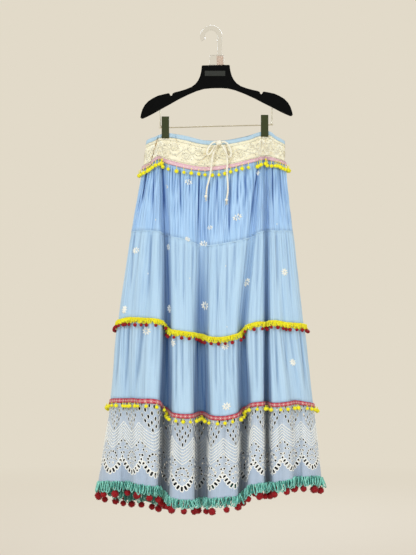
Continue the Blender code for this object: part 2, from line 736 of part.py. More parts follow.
# Routes as x, distance in front of CORD_FRONT, and z. Points are chosen by hand.
TAIL_ROUTES = {
    "left": ((14.5, 0, -289), (12, -2, -293), (9, -4, -300), (6, -6, -310), (3, -8, -322), (1.5, -11, -336),
             (0, -15.5, -350), (-2.5, -16, -364), (-6, -16, -380), (-10, -16, -395), (-12, -16, -412)),
    "right": ((26, 0, -289), (31, -2, -292), (36, -4, -299), (38.5, -6, -309), (40, -8, -322),
              (40.5, -12, -336), (39.5, -15.5, -350), (40, -16, -366), (41.5, -16, -386), (41.5, -16, -405),
              (39, -16, -421)),
}
LOOP_ROUTES = {
    "left": ((11.8, -1, -281), (6, -4, -282), (-1, -5, -288), (-8, -5, -299), (-10, -5, -308),
             (-6.5, -6, -312.5), (-1, -7, -309), (4.5, -8, -300), (9, -8.5, -292.5), (10.5, -8, -290)),
    "right": ((27.2, -1, -281), (34, -4, -281), (42, -5, -287), (48, -5, -298), (50, -5, -311),
              (47, -8, -318.5), (41, -13, -316), (36, -14, -305), (31, -12, -295), (28, -9, -290)),
}
CORD_FRONT = 25.0        # the cord leaves the waist knot this far in front of the hanger's middle


def ball(name, centre, size, rings, sides, finish):
    """A rounded knot from rings of points."""
    points = [(centre[0], centre[1], centre[2] + size[2])]
    for ring in range(1, rings):
        polar = math.pi * ring / rings
        for side in range(sides):
            turn = 2 * math.pi * side / sides
            points.append((centre[0] + size[0] * math.sin(polar) * math.cos(turn),
                           centre[1] + size[1] * math.sin(polar) * math.sin(turn),
                           centre[2] + size[2] * math.cos(polar)))
    points.append((centre[0], centre[1], centre[2] - size[2]))
    faces = []
    for side in range(sides):
        after = (side + 1) % sides
        faces.append((0, 1 + side, 1 + after))
        for ring in range(rings - 2):
            a, b = 1 + ring * sides + side, 1 + ring * sides + after
            faces.append((a, a + sides, b + sides, b))
        last = 1 + (rings - 2) * sides
        faces.append((len(points) - 1, last + after, last + side))
    return add_object(name, points, faces, finish)


def make_drawstring():
    ball("drawstring_knot", (KNOT["x"], KNOT["y"], KNOT["z"]), KNOT["size"], 5, 8, finishes["cord"])
    for side, route in TAIL_ROUTES.items():
        placed = [(x, -CORD_FRONT + forward, z) for x, forward, z in route]
        tube("drawstring_tail_" + side, placed, CORD, finishes["cord"], 13)
        end, before = Vector(placed[-1]), Vector(placed[-2])
        way = (end - before).normalized()
        middle = end + way * 4.7
        ball("drawstring_end_" + side, middle, (4.2, 4.2, 4.4), 4, 6, finishes["cord"])
    for side, route in LOOP_ROUTES.items():
        placed = [(x, -CORD_FRONT + forward, z) for x, forward, z in route]
        tube("drawstring_loop_" + side, placed, CORD, finishes["cord"], 11)


for skirt_half in ("front", "back"):
    make_waist(skirt_half)
    make_panels(skirt_half)
    make_trims(skirt_half)
    make_border(skirt_half)
    make_fringe(skirt_half)
make_hanger_body()
make_hook()
make_rail()
for clip_side in CLIPS:
    make_clip(clip_side)
make_drawstring()
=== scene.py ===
# A tiered midi skirt on its clip hanger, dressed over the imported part.
# Sizes in the tables are millimetres; meshes are made in metres, +Z up, the front towards -Y.
import json
import math

import bpy
import numpy as np
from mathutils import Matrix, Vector
from mathutils.geometry import delaunay_2d_cdt

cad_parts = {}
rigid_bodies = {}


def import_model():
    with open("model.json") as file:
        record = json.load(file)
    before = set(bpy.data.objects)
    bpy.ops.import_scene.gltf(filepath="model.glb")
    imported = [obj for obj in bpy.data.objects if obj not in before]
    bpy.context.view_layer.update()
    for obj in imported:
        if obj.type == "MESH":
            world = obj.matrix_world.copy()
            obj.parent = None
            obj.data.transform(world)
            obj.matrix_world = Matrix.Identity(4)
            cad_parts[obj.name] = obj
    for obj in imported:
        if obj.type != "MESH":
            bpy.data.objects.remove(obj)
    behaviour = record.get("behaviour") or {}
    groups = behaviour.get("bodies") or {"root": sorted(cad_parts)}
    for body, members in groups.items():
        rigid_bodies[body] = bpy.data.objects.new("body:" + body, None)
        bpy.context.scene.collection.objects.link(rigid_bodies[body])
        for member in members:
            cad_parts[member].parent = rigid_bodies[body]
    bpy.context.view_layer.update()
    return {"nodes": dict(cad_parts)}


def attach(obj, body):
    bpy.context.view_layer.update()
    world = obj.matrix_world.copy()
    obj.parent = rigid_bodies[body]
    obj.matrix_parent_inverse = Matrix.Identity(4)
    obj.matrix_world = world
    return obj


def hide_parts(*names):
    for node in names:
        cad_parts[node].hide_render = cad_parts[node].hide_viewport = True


for old in list(bpy.data.objects):
    bpy.data.objects.remove(old)

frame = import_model()
scene = bpy.context.scene
scene.view_settings.view_transform = "Standard"
print("frame loaded:", len(frame["nodes"]), "nodes")


# Camera

cameraSizes = dict(place=(-0.0075, -4.0, -0.6175), lens=69.19, sensor=24.0)
cameraData = bpy.data.cameras.new("camera")
cameraData.lens = cameraSizes["lens"]
cameraData.sensor_width = cameraSizes["sensor"]
camera = bpy.data.objects.new("camera", cameraData)
camera.location = cameraSizes["place"]
camera.rotation_euler = (math.radians(90), 0, 0)
scene.collection.objects.link(camera)
scene.camera = camera


# Node helpers, for materials and for Geometry Nodes alike

class Wire:  # one socket, so that maths on it reads as a plain sum
    def __init__(self, graph, socket):
        self.graph = graph
        self.socket = socket

    def math(self, operation, other=None, swapped=False):
        values = [self] if other is None else [self, other]
        if swapped:
            values.reverse()
        return self.graph.add("ShaderNodeMath", {"operation": operation}, dict(enumerate(values)))

    def __add__(self, other):
        return self.math("ADD", other)

    def __sub__(self, other):
        return self.math("SUBTRACT", other)

    def __rsub__(self, other):
        return self.math("SUBTRACT", other, True)

    def __mul__(self, other):
        return self.math("MULTIPLY", other)

    def __truediv__(self, other):
        return self.math("DIVIDE", other)

    __radd__ = __add__
    __rmul__ = __mul__

    def clamp(self):
        return self.graph.add("ShaderNodeClamp", {}, {0: self})

    def wave(self):
        return self.math("SINE")


class Graph:
    def __init__(self, tree):
        self.tree = tree

    def add(self, kind, settings=None, values=None, out=0):
        made = self.tree.nodes.new(kind)
        for name, value in (settings or {}).items():
            setattr(made, name, value)
        for key, value in (values or {}).items():
            if isinstance(value, Wire):
                self.tree.links.new(value.socket, made.inputs[key])
            else:
                made.inputs[key].default_value = value
        return Wire(self, made.outputs[out])

    def blend(self, factor, first, second):
        return self.add("ShaderNodeMix", {"data_type": "RGBA"}, {0: factor, 6: first, 7: second}, 2)

    def flat(self):  # the piece's own flat map: along the ring, and up
        parts = self.add("ShaderNodeUVMap", {"uv_map": "flat"})
        split = self.add("ShaderNodeSeparateXYZ", {}, {0: parts})
        return split, Wire(self, split.socket.node.outputs[1])

    def vector(self, *parts):
        return self.add("ShaderNodeCombineXYZ", {}, dict(enumerate(parts)))

    def noise(self, x, y, z=0.0, detail=2.0):
        values = {"Vector": self.vector(x, y, z), "Scale": 1.0, "Detail": detail}
        return self.add("ShaderNodeTexNoise", {}, values)

    def painted(self, name):
        return self.add("ShaderNodeAttribute", {"attribute_name": name}, {}, "Fac")

    def objectNoise(self, scale, detail=2.0):
        spot = self.add("ShaderNodeTexCoord", {}, {}, "Object")
        return self.add("ShaderNodeTexNoise", {}, {"Vector": spot, "Scale": scale, "Detail": detail})

    def feed(self, name, wire):
        self.tree.links.new(wire.socket, self.tree.nodes["Principled BSDF"].inputs[name])

    def feedBump(self, height, distance, strength=1.0):
        values = {"Strength": strength, "Distance": distance, "Height": height}
        self.feed("Normal", self.add("ShaderNodeBump", {}, values))


def newMaterial(name, **fixed):
    made = bpy.data.materials.new(name)
    made.use_nodes = True
    for key, value in fixed.items():
        made.node_tree.nodes["Principled BSDF"].inputs[key.replace("_", " ")].default_value = value
    return made, Graph(made.node_tree)


def tone(red, green, blue):  # a colour given as it shows on a screen
    def linear(value):
        value /= 255
        return value / 12.92 if value <= 0.04045 else ((value + 0.055) / 1.055) ** 2.4
    return (linear(red), linear(green), linear(blue), 1)


# The skirt's drape, from the same tables as the solids

tierHeight = (70, 178, 227, 193, 205)
levelHeight = (0, 70, 248, 475, 668, 873)
sideEdge = dict(left=(-161, -170, -198, -232, -250, -282), right=(184, 185, 204, 232, 255, 275))
bulge = dict(front=(14, 25, 46, 63, 79, 100), back=(12, 22, 40, 54, 66, 80))
roundness = 2.6
fullShade = 46  # a fold this deep is fully shaded
halves = ("front", "back")

folds = {
    "front": (
        dict(x=(-142, -153, -184, -206, -205, -207), depth=(0, 4, 8, 10, 13, 18),
             half=(8, 8, 12, 14, 14, 13)),
        dict(x=(-132, -137, -149, -168, -180, -164), depth=(0, 2, 5, 8, 8, 5), half=(8, 8, 9, 10, 10, 10)),
        dict(x=(-114, -120, -112, -109, -111, -117), depth=(10.4, 14, 26, 36, 46, 54),
             half=(26, 11, 9, 10, 13, 12)),
        dict(x=(-15, -17, -22, -25, -23, -24), depth=(0, 2, 18, 34, 46, 54),
             half=(14, 12, 13, 16, 17, 14)),
        dict(x=(92, 116, 102, 79, 83, 78), depth=(0, 6, 16, 28, 40, 44), half=(12, 7, 9, 10, 13, 10)),
        dict(x=(134, 137, 137, 137, 138, 140), depth=(10.6, 14, 22, 30, 38, 42), half=(26, 11, 7, 7, 8, 8)),
        dict(x=(162, 164, 171, 185, 209, 212), depth=(0, 2, 4, 6, 15, 22), half=(9, 10, 12, 13, 12, 10)),
    ),
    "back": (
        dict(x=(-140, -150, -170, -196, -206, -214), depth=(0, 3, 8, 16, 26, 34),
             half=(9, 9, 12, 13, 13, 13)),
        dict(x=(-114, -118, -122, -126, -128, -134), depth=(8.8, 12, 18, 26, 34, 42),
             half=(26, 12, 12, 13, 14, 14)),
        dict(x=(-50, -52, -54, -56, -60, -62), depth=(0, 2, 10, 22, 34, 44), half=(14, 14, 14, 15, 16, 16)),
        dict(x=(30, 32, 36, 38, 38, 40), depth=(0, 2, 8, 20, 32, 42), half=(14, 14, 14, 15, 16, 16)),
        dict(x=(134, 136, 134, 132, 132, 134), depth=(8.9, 12, 16, 24, 34, 42),
             half=(26, 12, 12, 12, 13, 13)),
        dict(x=(160, 164, 176, 190, 204, 212), depth=(0, 3, 8, 14, 20, 28), half=(9, 9, 12, 13, 13, 13)),
    ),
}

drops = {
    "front": (
        (277, 351, 506, 736, 924, 1131), (271, 347, 504, 727, 917, 1121), (267, 341, 502, 721, 916, 1120),
        (265, 333, 502, 721, 915, 1122), (262, 325, 502, 722, 916, 1127), (259, 324, 505, 725, 917, 1130),
        (256, 329, 512, 744, 939, 1145), (264, 345, 522, 754, 952, 1160), (276, 353, 539, 762, 949, 1162),
        (276, 345, 532, 769, 957, 1155), (266, 328, 517, 750, 937, 1146), (257, 325, 505, 732, 923, 1122),
        (252, 325, 502, 734, 924, 1124), (253, 327, 502, 728, 925, 1117), (264, 331, 502, 733, 921, 1109),
        (271, 335, 502, 736, 927, 1109), (278, 339, 504, 741, 934, 1120),
    ),
    "back": (
        (277, 351, 506, 736, 924, 1131), (270, 345, 507, 742, 936, 1150), (266, 340, 508, 744, 940, 1160),
        (261, 334, 509, 745, 942, 1166), (256, 330, 510, 746, 944, 1168), (263, 338, 516, 750, 948, 1166),
        (271, 346, 521, 753, 949, 1160), (274, 349, 524, 753, 947, 1153), (274, 349, 523, 751, 944, 1146),
        (265, 340, 517, 746, 939, 1138), (252, 327, 510, 741, 934, 1130), (256, 329, 508, 739, 931, 1125),
        (264, 333, 506, 738, 930, 1122), (271, 336, 505, 739, 931, 1121), (278, 339, 504, 741, 934, 1120),
    ),
}

# Gathers under each seam: main waves as on the solids, finer ones between them, soft long ripples.
gathers = {
    1: dict(waves=40, height=1.7, fineWaves=87, fine=1.0, softWaves=17, soft=0.8, crinkle=0.75, fade=0.45),
    2: dict(waves=24, height=1.5, fineWaves=61, fine=0.9, softWaves=13, soft=1.2, crinkle=0.3, fade=0.9),
    3: dict(waves=24, height=1.9, fineWaves=66, fine=1.0, softWaves=15, soft=1.3, crinkle=0.3, fade=0.9),
    4: dict(waves=24, height=0.0, fineWaves=57, fine=0.3, softWaves=19, soft=0.5, crinkle=0.0, fade=1.0),
}

# Creases, placed one by one: x and level of both ends, width, depth.
creases = {
    "front": (
        (-131, 0.05, -153, 1.0, 2.6, 3.2), (-89, 0.05, -81, 0.5, 2.0, 1.5), (127, 0.1, 125, 0.7, 1.5, 1.2),
        (139, 0.1, 131, 0.75, 1.6, 1.3), (-1, 0.12, -20, 0.55, 3.0, 1.6), (36, 0.1, 46, 0.75, 2.6, 1.5),
        (-10, 0.5, -34, 0.85, 4.0, 0.9), (60, 0.3, 74, 0.8, 4.0, 0.7),
        (-160, 1.0, -172, 1.6, 4.0, 3.0), (-121, 1.0, -114, 1.75, 4.0, 4.2), (-78, 1.0, -74, 1.7, 3.2, 3.0),
        (-96, 1.0, -95, 1.5, 2.4, 1.8), (-52, 1.0, -53, 1.4, 2.5, 1.9), (-29, 1.05, -32, 1.8, 3.2, 2.8),
        (-4, 1.05, -7, 1.6, 2.6, 2.0), (16, 1.1, 18, 1.9, 2.5, 2.0), (46, 1.15, 45, 1.95, 3.4, 3.0),
        (66, 1.05, 67, 1.55, 2.4, 2.0), (86, 1.05, 84, 1.6, 2.6, 2.0), (118, 1.0, 98, 1.85, 4.2, 4.0),
        (152, 1.0, 154, 1.7, 3.4, 2.6), (168, 1.0, 176, 1.6, 2.6, 2.0), (-141, 1.0, -146, 1.8, 3.0, 2.4),
        (-190, 2.02, -201, 2.7, 4.0, 2.2), (-149, 2.02, -155, 2.8, 5.0, 2.6), (-88, 2.02, -86, 2.6, 3.6, 2.0),
        (-66, 2.02, -68, 2.75, 4.0, 2.0), (-44, 2.02, -48, 2.6, 3.4, 2.0), (14, 2.02, 16, 2.7, 4.0, 2.2),
        (40, 2.02, 38, 2.85, 4.4, 2.4), (60, 2.02, 58, 2.5, 3.0, 1.6), (118, 2.02, 111, 2.7, 3.2, 2.2),
        (162, 2.02, 166, 2.7, 4.0, 2.4), (186, 2.02, 199, 2.8, 3.6, 2.0), (-126, 2.02, -128, 2.7, 3.0, 2.0),
        (-224, 3.03, -238, 3.9, 4.0, 2.6), (-203, 3.03, -212, 3.95, 4.4, 3.0),
        (-169, 3.03, -186, 3.9, 6.0, 3.2), (-142, 3.03, -146, 3.6, 4.0, 1.8),
        (-86, 3.03, -86, 3.95, 3.6, 2.6), (-70, 3.03, -69, 3.85, 3.4, 2.2),
        (-54, 3.03, -55, 3.5, 3.0, 1.6), (13, 3.03, 12, 3.7, 3.4, 2.2), (34, 3.03, 35, 3.95, 4.0, 2.4),
        (54, 3.03, 56, 3.7, 3.2, 1.8), (112, 3.03, 113, 3.9, 3.8, 2.6), (160, 3.03, 164, 3.9, 4.4, 2.8),
        (182, 3.03, 189, 3.7, 3.4, 2.0), (222, 3.03, 236, 3.9, 4.0, 2.4),
        (-228, 4.1, -238, 4.9, 5.0, 1.6), (-78, 4.1, -79, 4.95, 5.0, 1.2), (33, 4.1, 34, 4.95, 6.0, 1.3),
        (166, 4.1, 172, 4.9, 5.0, 1.4),
    ),
    "back": (
        (-90, 0.1, -84, 0.6, 2.2, 1.4), (104, 0.1, 98, 0.6, 2.2, 1.4), (10, 0.1, 2, 0.7, 2.6, 1.2),
        (-150, 1.0, -158, 1.6, 4.0, 2.6), (-96, 1.0, -98, 1.7, 3.4, 2.6), (-72, 1.0, -74, 1.5, 2.6, 1.8),
        (-24, 1.0, -26, 1.75, 3.2, 2.6), (2, 1.0, 3, 1.5, 2.4, 1.8), (54, 1.0, 58, 1.8, 3.4, 2.8),
        (78, 1.0, 80, 1.6, 2.6, 2.0), (104, 1.0, 106, 1.7, 3.2, 2.6), (156, 1.0, 164, 1.6, 3.4, 2.2),
        (-182, 2.02, -192, 2.7, 4.0, 2.2), (-100, 2.02, -101, 2.8, 4.4, 2.4), (-80, 2.02, -82, 2.5, 3.2, 1.8),
        (-20, 2.02, -18, 2.7, 4.0, 2.2), (6, 2.02, 8, 2.6, 3.4, 2.0), (70, 2.02, 72, 2.8, 4.2, 2.4),
        (96, 2.02, 95, 2.6, 3.4, 1.8), (160, 2.02, 166, 2.7, 4.0, 2.2),
        (-222, 3.03, -234, 3.9, 4.2, 2.6), (-168, 3.03, -172, 3.7, 3.8, 2.2), (-96, 3.03, -96, 3.9, 4.4, 2.6),
        (-30, 3.03, -28, 3.6, 3.4, 2.0), (-8, 3.03, -8, 3.9, 4.0, 2.4), (66, 3.03, 68, 3.8, 3.8, 2.2),
        (92, 3.03, 92, 3.9, 4.2, 2.6), (164, 3.03, 170, 3.8, 3.8, 2.2), (222, 3.03, 232, 3.9, 4.0, 2.2),
        (-94, 4.1, -95, 4.9, 5.0, 1.3), (84, 4.1, 86, 4.9, 5.0, 1.3),
    ),
}


def eased(part, first, last, enter, leave):  # a cubic from first to last with its slopes at both ends
    square, cube = part ** 2, part ** 3
    return ((2 * cube - 3 * square + 1) * first + (cube - 2 * square + part) * enter
            + (3 * square - 2 * cube) * last + (cube - square) * leave)


def acrossLevels(values, level):
    step = min(max(int(math.floor(level)), 0), 4)

    def slope(index):
        before = max(index - 1, 0)
        after = min(index + 1, 5)
        return (values[after] - values[before]) / (levelHeight[after] - levelHeight[before])

    return eased(level - step, values[step], values[step + 1], slope(step) * tierHeight[step],
                 slope(step + 1) * tierHeight[step])


def ringOf(half, level):  # plan outline: x, outward distance, length along it, fold middles, shade
    left = acrossLevels(sideEdge["left"], level)
    right = acrossLevels(sideEdge["right"], level)
    turn = np.linspace(0.0, math.pi, 1201)
    x = (left + right) / 2 - (right - left) / 2 * np.cos(turn)
    inward = np.abs(np.cos(turn))
    out = acrossLevels(bulge[half], level) * (1 - inward ** roundness) ** (1 / roundness)
    sideFade = 1 - inward ** 10
    shade = np.zeros_like(x)
    for fold in folds[half]:
        away = (x - acrossLevels(fold["x"], level)) / acrossLevels(fold["half"], level)
        dip = acrossLevels(fold["depth"], level) * sideFade / (1 + away ** 4)
        out -= dip
        shade += dip / fullShade
    length = np.concatenate(([0.0], np.cumsum(np.hypot(np.diff(x), np.diff(out)))))
    middles = np.interp([acrossLevels(fold["x"], level) for fold in folds[half]], x, length)
    return x, out, length, middles, shade


levelStep = 0.02
placeCount = 1601
drapeTables = {}


def buildDrape(half):  # a table of the cloth's points over its places, at every level
    hem = ringOf(half, 5.0)
    knots = [0.0, *(hem[3] / hem[2][-1]), 1.0]
    places = np.linspace(0, 1, placeCount)
    fields = {name: [] for name in ("x", "out", "nx", "nout", "drop", "shade", "along")}
    nodes = [0.0]
    for start, end in zip(knots, knots[1:]):
        nodes += [(start + end) / 2, end]
    nodes = np.array(nodes)
    order = np.arange(len(nodes))
    before, after = np.maximum(order - 1, 0), np.minimum(order + 1, len(nodes) - 1)
    rows = np.array(drops[half], float)
    spot = np.clip(np.searchsorted(nodes, places) - 1, 0, len(nodes) - 2)
    width = nodes[spot + 1] - nodes[spot]
    share = (places - nodes[spot]) / width
    for index in range(int(round(5 / levelStep)) + 1):
        level = index * levelStep
        x, out, length, middles, shade = ringOf(half, level)
        place = np.interp(length, [0, *middles, length[-1]], knots)
        evenX = np.interp(places, place, x)
        evenOut = np.interp(places, place, out)
        slopeX, slopeOut = np.gradient(evenX), np.gradient(evenOut)
        size = np.hypot(slopeX, slopeOut)
        step = min(int(level + 1e-9), 4)
        values = rows[:, step] + (rows[:, step + 1] - rows[:, step]) * (level - step)
        slopes = (values[after] - values[before]) / (nodes[after] - nodes[before])
        drop = eased(share, values[spot], values[spot + 1], slopes[spot] * width, slopes[spot + 1] * width)
        row = dict(x=evenX, out=evenOut, nx=-slopeOut / size, nout=slopeX / size, drop=drop,
                   shade=np.interp(places, place, shade), along=np.full(placeCount, length[-1]))
        for name, field in fields.items():
            field.append(row[name])
    drapeTables[half] = {name: np.array(field) for name, field in fields.items()}


for half in halves:
    buildDrape(half)
print("drape tables made")


def sample(half, name, place, level):
    table = drapeTables[half][name]
    row = np.clip(np.asarray(level, float) / levelStep, 0, table.shape[0] - 1.001)
    column = np.clip(np.asarray(place, float) * (placeCount - 1), 0, placeCount - 1.001)
    i, j = row.astype(int), column.astype(int)
    f, g = row - i, column - j
    return ((table[i, j] * (1 - f) + table[i + 1, j] * f) * (1 - g)
            + (table[i, j + 1] * (1 - f) + table[i + 1, j + 1] * f) * g)


tableLevels = np.arange(0, 5 + levelStep / 2, levelStep)
foldLines = {half: [{key: [acrossLevels(fold[key], level) for level in tableLevels] for key in fold}
                    for fold in folds[half]] for half in halves}
foldEdge = dict(away=1.02, width=0.15, dip=1.3, shade=0.75, shallow=6, span=30)
gatherShape = dict(least=0.35, rise=0.12, uneven=0.28, fall=1.2, drift=0.45, driftWaves=3.1,
                   wander=((1.3, 2.3), (0.8, 7.7)), lean=0.4, crinkleWaves=113, crinkleFade=0.5,
                   softDrift=1.7, softLeast=0.3)
creaseWidth = 0.62  # of the width in the table


def relief(half, place, level, x):  # gathers and creases, outwards from the smooth drape
    shape = gatherShape
    out = np.zeros_like(x)
    # valley gathers painted shade: dark lines along the edges of deep folds, in the low parts of the gathers
    # and along the creases; the materials darken the cloth by it
    valley = np.zeros_like(x)
    for fold in foldLines[half]:  # a deep fold turns sharply at both its edges
        middle, width, depth = (np.interp(level, tableLevels, fold[key]) for key in ("x", "half", "depth"))
        away = np.abs(x - middle) / width - foldEdge["away"]
        deep = np.clip((depth - foldEdge["shallow"]) / foldEdge["span"], 0, 1)
        edge = np.exp(-(away / foldEdge["width"]) ** 2) * deep
        out -= edge * foldEdge["dip"]
        valley += edge * foldEdge["shade"]
    for step, sizes in gathers.items():
        inside = (level >= step - 1e-6) & (level < step + 1)
        part = np.clip(level - step, 0, 1)
        rise = shape["least"] + (1 - shape["least"]) * np.minimum(1, part / shape["rise"])
        wave = sizes["waves"] * place
        uneven = 1 - shape["uneven"] + shape["uneven"] * np.sin(2.3 * np.floor(wave + 0.25) + step)
        main = sizes["height"] * uneven * rise * (1 - part) ** shape["fall"] * np.cos(2 * math.pi * wave)
        drift = shape["drift"] * np.sin(2 * math.pi * shape["driftWaves"] * place + step)
        fine = sizes["fine"] * np.cos(2 * math.pi * (sizes["fineWaves"] * place + drift)) * rise
        fine *= (1 - part) ** sizes["fade"]
        (far, slow), (near, quick) = shape["wander"]
        wander = (far * np.sin(2 * math.pi * (slow * place + shape["lean"] * part))
                  + near * np.sin(2 * math.pi * quick * place))
        crinkle = np.cos(2 * math.pi * (shape["crinkleWaves"] * place + wander))
        crinkle *= sizes["crinkle"] * (1 - shape["crinkleFade"] * part)
        soft = np.cos(2 * math.pi * (sizes["softWaves"] * place + shape["softDrift"] * drift))
        soft *= sizes["soft"] * (shape["softLeast"] + (1 - shape["softLeast"]) * part)
        out += np.where(inside, main + fine + soft + crinkle, 0)
        low = -(main + 1.6 * fine + 0.6 * soft + 1.8 * crinkle) / 2.4
        valley += np.where(inside, np.clip(low, 0, 1), 0)
    for startX, startLevel, endX, endLevel, width, depth in creases[half]:
        run = (level - startLevel) / (endLevel - startLevel)
        middle = startX + (endX - startX) * run
        fade = np.clip(run * 12 + 0.4, 0, 1) * np.clip((1 - run) * 3.5, 0, 1)
        fade = np.where((level >= math.floor(startLevel)) & (level < math.floor(startLevel) + 1), fade, 0)
        dip = np.exp(-((x - middle) / (width * creaseWidth)) ** 2) * fade
        out -= dip * depth
        valley += dip * min(depth / 2.0, 1.4)
    return out, np.clip(valley, 0, 1.5)


def drape(half, place, level, out, gathered=True):  # points in millimetres, one row each
    place, level = np.broadcast_arrays(np.asarray(place, float), np.asarray(level, float))
    x, y, nx, ny = (sample(half, name, place, level) for name in ("x", "out", "nx", "nout"))
    size = np.hypot(nx, ny)
    if gathered:
        out = out + relief(half, place, level, x)[0]
    side = -1 if half == "front" else 1
    points = [x + out * nx / size, side * (y + out * ny / size), -sample(half, "drop", place, level)]
    return np.stack(points, axis=-1)


def ringLength(half, level):  # millimetres round this half
    return float(sample(half, "along", 0.5, min(level, 5)))


def ringWay(half, place, level, reach, out=0.0):  # along the ring at a place
    return (drape(half, np.clip(place + reach, 0, 1), level, out, False)
            - drape(half, np.clip(place - reach, 0, 1), level, out, False))


def lower(level, distance):
    height = np.interp(level, range(6), levelHeight) + distance
    return np.interp(height, levelHeight, range(6))


def clothFrame(half, place, level, out):  # point, unit way along, unit way down and outwards
    down = 0.01
    along = ringWay(half, place, level, 1.5 / sample(half, "along", place, level))
    fall = (drape(half, place, np.clip(level + down, 0, 5), 0, False)
            - drape(half, place, np.clip(level - down, 0, 5), 0, False))
    facing = np.cross(fall, along) * (1 if half == "front" else -1)
    return drape(half, place, level, out), unit(along), unit(fall), unit(facing)


def unit(rows):
    return rows / np.maximum(np.linalg.norm(rows, axis=-1, keepdims=True), 1e-9)


def spotAt(half, x, z):  # place and level of the cloth at an x and z
    table = drapeTables[half]
    miss = (table["x"] - x) ** 2 + (table["drop"] + z) ** 2
    row, column = np.unravel_index(np.argmin(miss), miss.shape)
    return column / (placeCount - 1), row * levelStep


# Meshes

def addMesh(name, points, faces, material, uv=None, painted=None, smooth=True, closed=True):
    mesh = bpy.data.meshes.new(name)
    points = np.asarray(points, float)
    mesh.from_pydata(points * 0.001, [], faces)
    if closed:
        mesh.calc_loop_triangles()
        corners = np.zeros(len(mesh.loop_triangles) * 3, int)
        mesh.loop_triangles.foreach_get("vertices", corners)
        a, b, c = (points[corners.reshape(-1, 3)[:, index]] - points[0] for index in range(3))
        if (a * np.cross(b, c)).sum() < 0:  # a closed mesh wound inside out holds a negative volume
            mesh.flip_normals()
    mesh.materials.append(material)
    if uv is not None:
        layer = mesh.uv_layers.new(name="flat")
        corners = np.zeros(len(mesh.loops), int)
        mesh.loops.foreach_get("vertex_index", corners)
        layer.data.foreach_set("uv", (np.asarray(uv)[corners] * 0.001).astype(np.float32).ravel())
    for key, values in (painted or {}).items():
        mesh.attributes.new(key, "FLOAT", "POINT").data.foreach_set("value", np.asarray(values, np.float32))
    if smooth:
        mesh.polygons.foreach_set("use_smooth", [True] * len(mesh.polygons))
    mesh.update()
    made = bpy.data.objects.new(name, mesh)
    scene.collection.objects.link(made)
    return made


def pointMesh(points, vectors, numbers=None, edges=()):
    mesh = bpy.data.meshes.new("points")
    mesh.from_pydata(np.asarray(points, float) * 0.001, list(edges), [])
    for key, values in (vectors or {}).items():
        layer = mesh.attributes.new(key, "FLOAT_VECTOR", "POINT")
        layer.data.foreach_set("vector", np.asarray(values, np.float32).ravel())
    for key, values in (numbers or {}).items():
        mesh.attributes.new(key, "FLOAT", "POINT").data.foreach_set("value", np.asarray(values, np.float32))
    return mesh


def closeShell(sheet, count):  # a second side and a rim for a sheet's triangles
    other = [tuple(count + corner for corner in reversed(face)) for face in sheet]
    used = {(start, end) for face in sheet for start, end in zip(face, (*face[1:], face[0]))}
    rim = [(end, start, count + start, count + end) for start, end in used if (end, start) not in used]
    return list(sheet) + other + rim


def gridFaces(rows, columns, half):  # a sheet's quads, wound so that each half faces outwards
    faces = []
    for row in range(rows):
        for column in range(columns):
            a = row * (columns + 1) + column
            c = a + columns + 1
            faces.append((a, c, c + 1, a + 1))
    return outwards(faces, half)


def outwards(faces, half):
    return [tuple(reversed(face)) for face in faces] if half == "back" else faces


def tubeFaces(rings, sides, capped=True, first=0):  # quads round a tube, and its two ends
    faces = []
    for ring in range(rings - 1):
        for side in range(sides):
            a = first + ring * sides + side
            b = first + ring * sides + (side + 1) % sides
            faces.append((a, b, b + sides, a + sides))
    if capped:
        faces.append(tuple(reversed(range(sides))))
        faces.append(tuple(range((rings - 1) * sides, rings * sides)))
    return faces


def finished(piece, replaced=""):  # every piece rides on the one body
    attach(piece, "root")
    if replaced:
        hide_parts(replaced)
    return piece


def clothShell(name, half, outer, inner, faces, material, flat, place, level, inside=1, **painted):
    # fold carries the fold depth share, which the materials paint as shade in the folds
    painted["fold"] = sample(half, "shade", place, level)
    doubled = {key: np.tile(np.ravel(values), 2) for key, values in painted.items()}
    # the inner side is painted darker by the cloth materials: painted shade inside the skirt
    doubled["inner"] = np.repeat([0, inside], len(outer))  # marks the side that faces into the skirt
    return addMesh(name, np.concatenate([outer, inner]), closeShell(faces, len(outer)), material,
                   np.concatenate([flat, flat]), doubled)


# painted shade of the gathers and creases at these places
def valleyOf(half, place, level):
    return relief(half, place, level, sample(half, "x", place, level))[1]


def clothPanel(name, half, top, bottom, columns, rows, thickness, material, slot, node):
    share = np.linspace(0, 1, columns + 1)
    levels, places = np.meshgrid(np.linspace(top, bottom, rows + 1), share, indexing="ij")
    margin = 0.1 / sample(half, "along", places, levels)
    places = (margin + places * (1 - 2 * margin)).ravel()
    levels = levels.ravel()
    outer, inner = (drape(half, places, levels, side * thickness / 2) for side in (1, -1))
    width = sample(half, "along", places, np.full_like(places, bottom))
    flat = np.stack([places * width, -np.interp(levels, range(6), levelHeight)], axis=1)
    piece = clothShell(name + "Cloth_" + half, half, outer, inner, gridFaces(rows, columns, half), material,
                       flat, places, levels, valley=valleyOf(half, places, levels))
    return finished(piece, node + "_" + half)


# Geometry Nodes

def newTree(name, inputs):
    tree = bpy.data.node_groups.new(name, "GeometryNodeTree")
    tree.interface.new_socket("Geometry", in_out="OUTPUT", socket_type="NodeSocketGeometry")
    tree.interface.new_socket("Geometry", in_out="INPUT", socket_type="NodeSocketGeometry")
    for key, kind in inputs.items():
        tree.interface.new_socket(key, in_out="INPUT", socket_type="NodeSocket" + kind)
    graph = Graph(tree)
    start = tree.nodes.new("NodeGroupInput")
    return graph, {socket.name: Wire(graph, socket) for socket in start.outputs if socket.name}


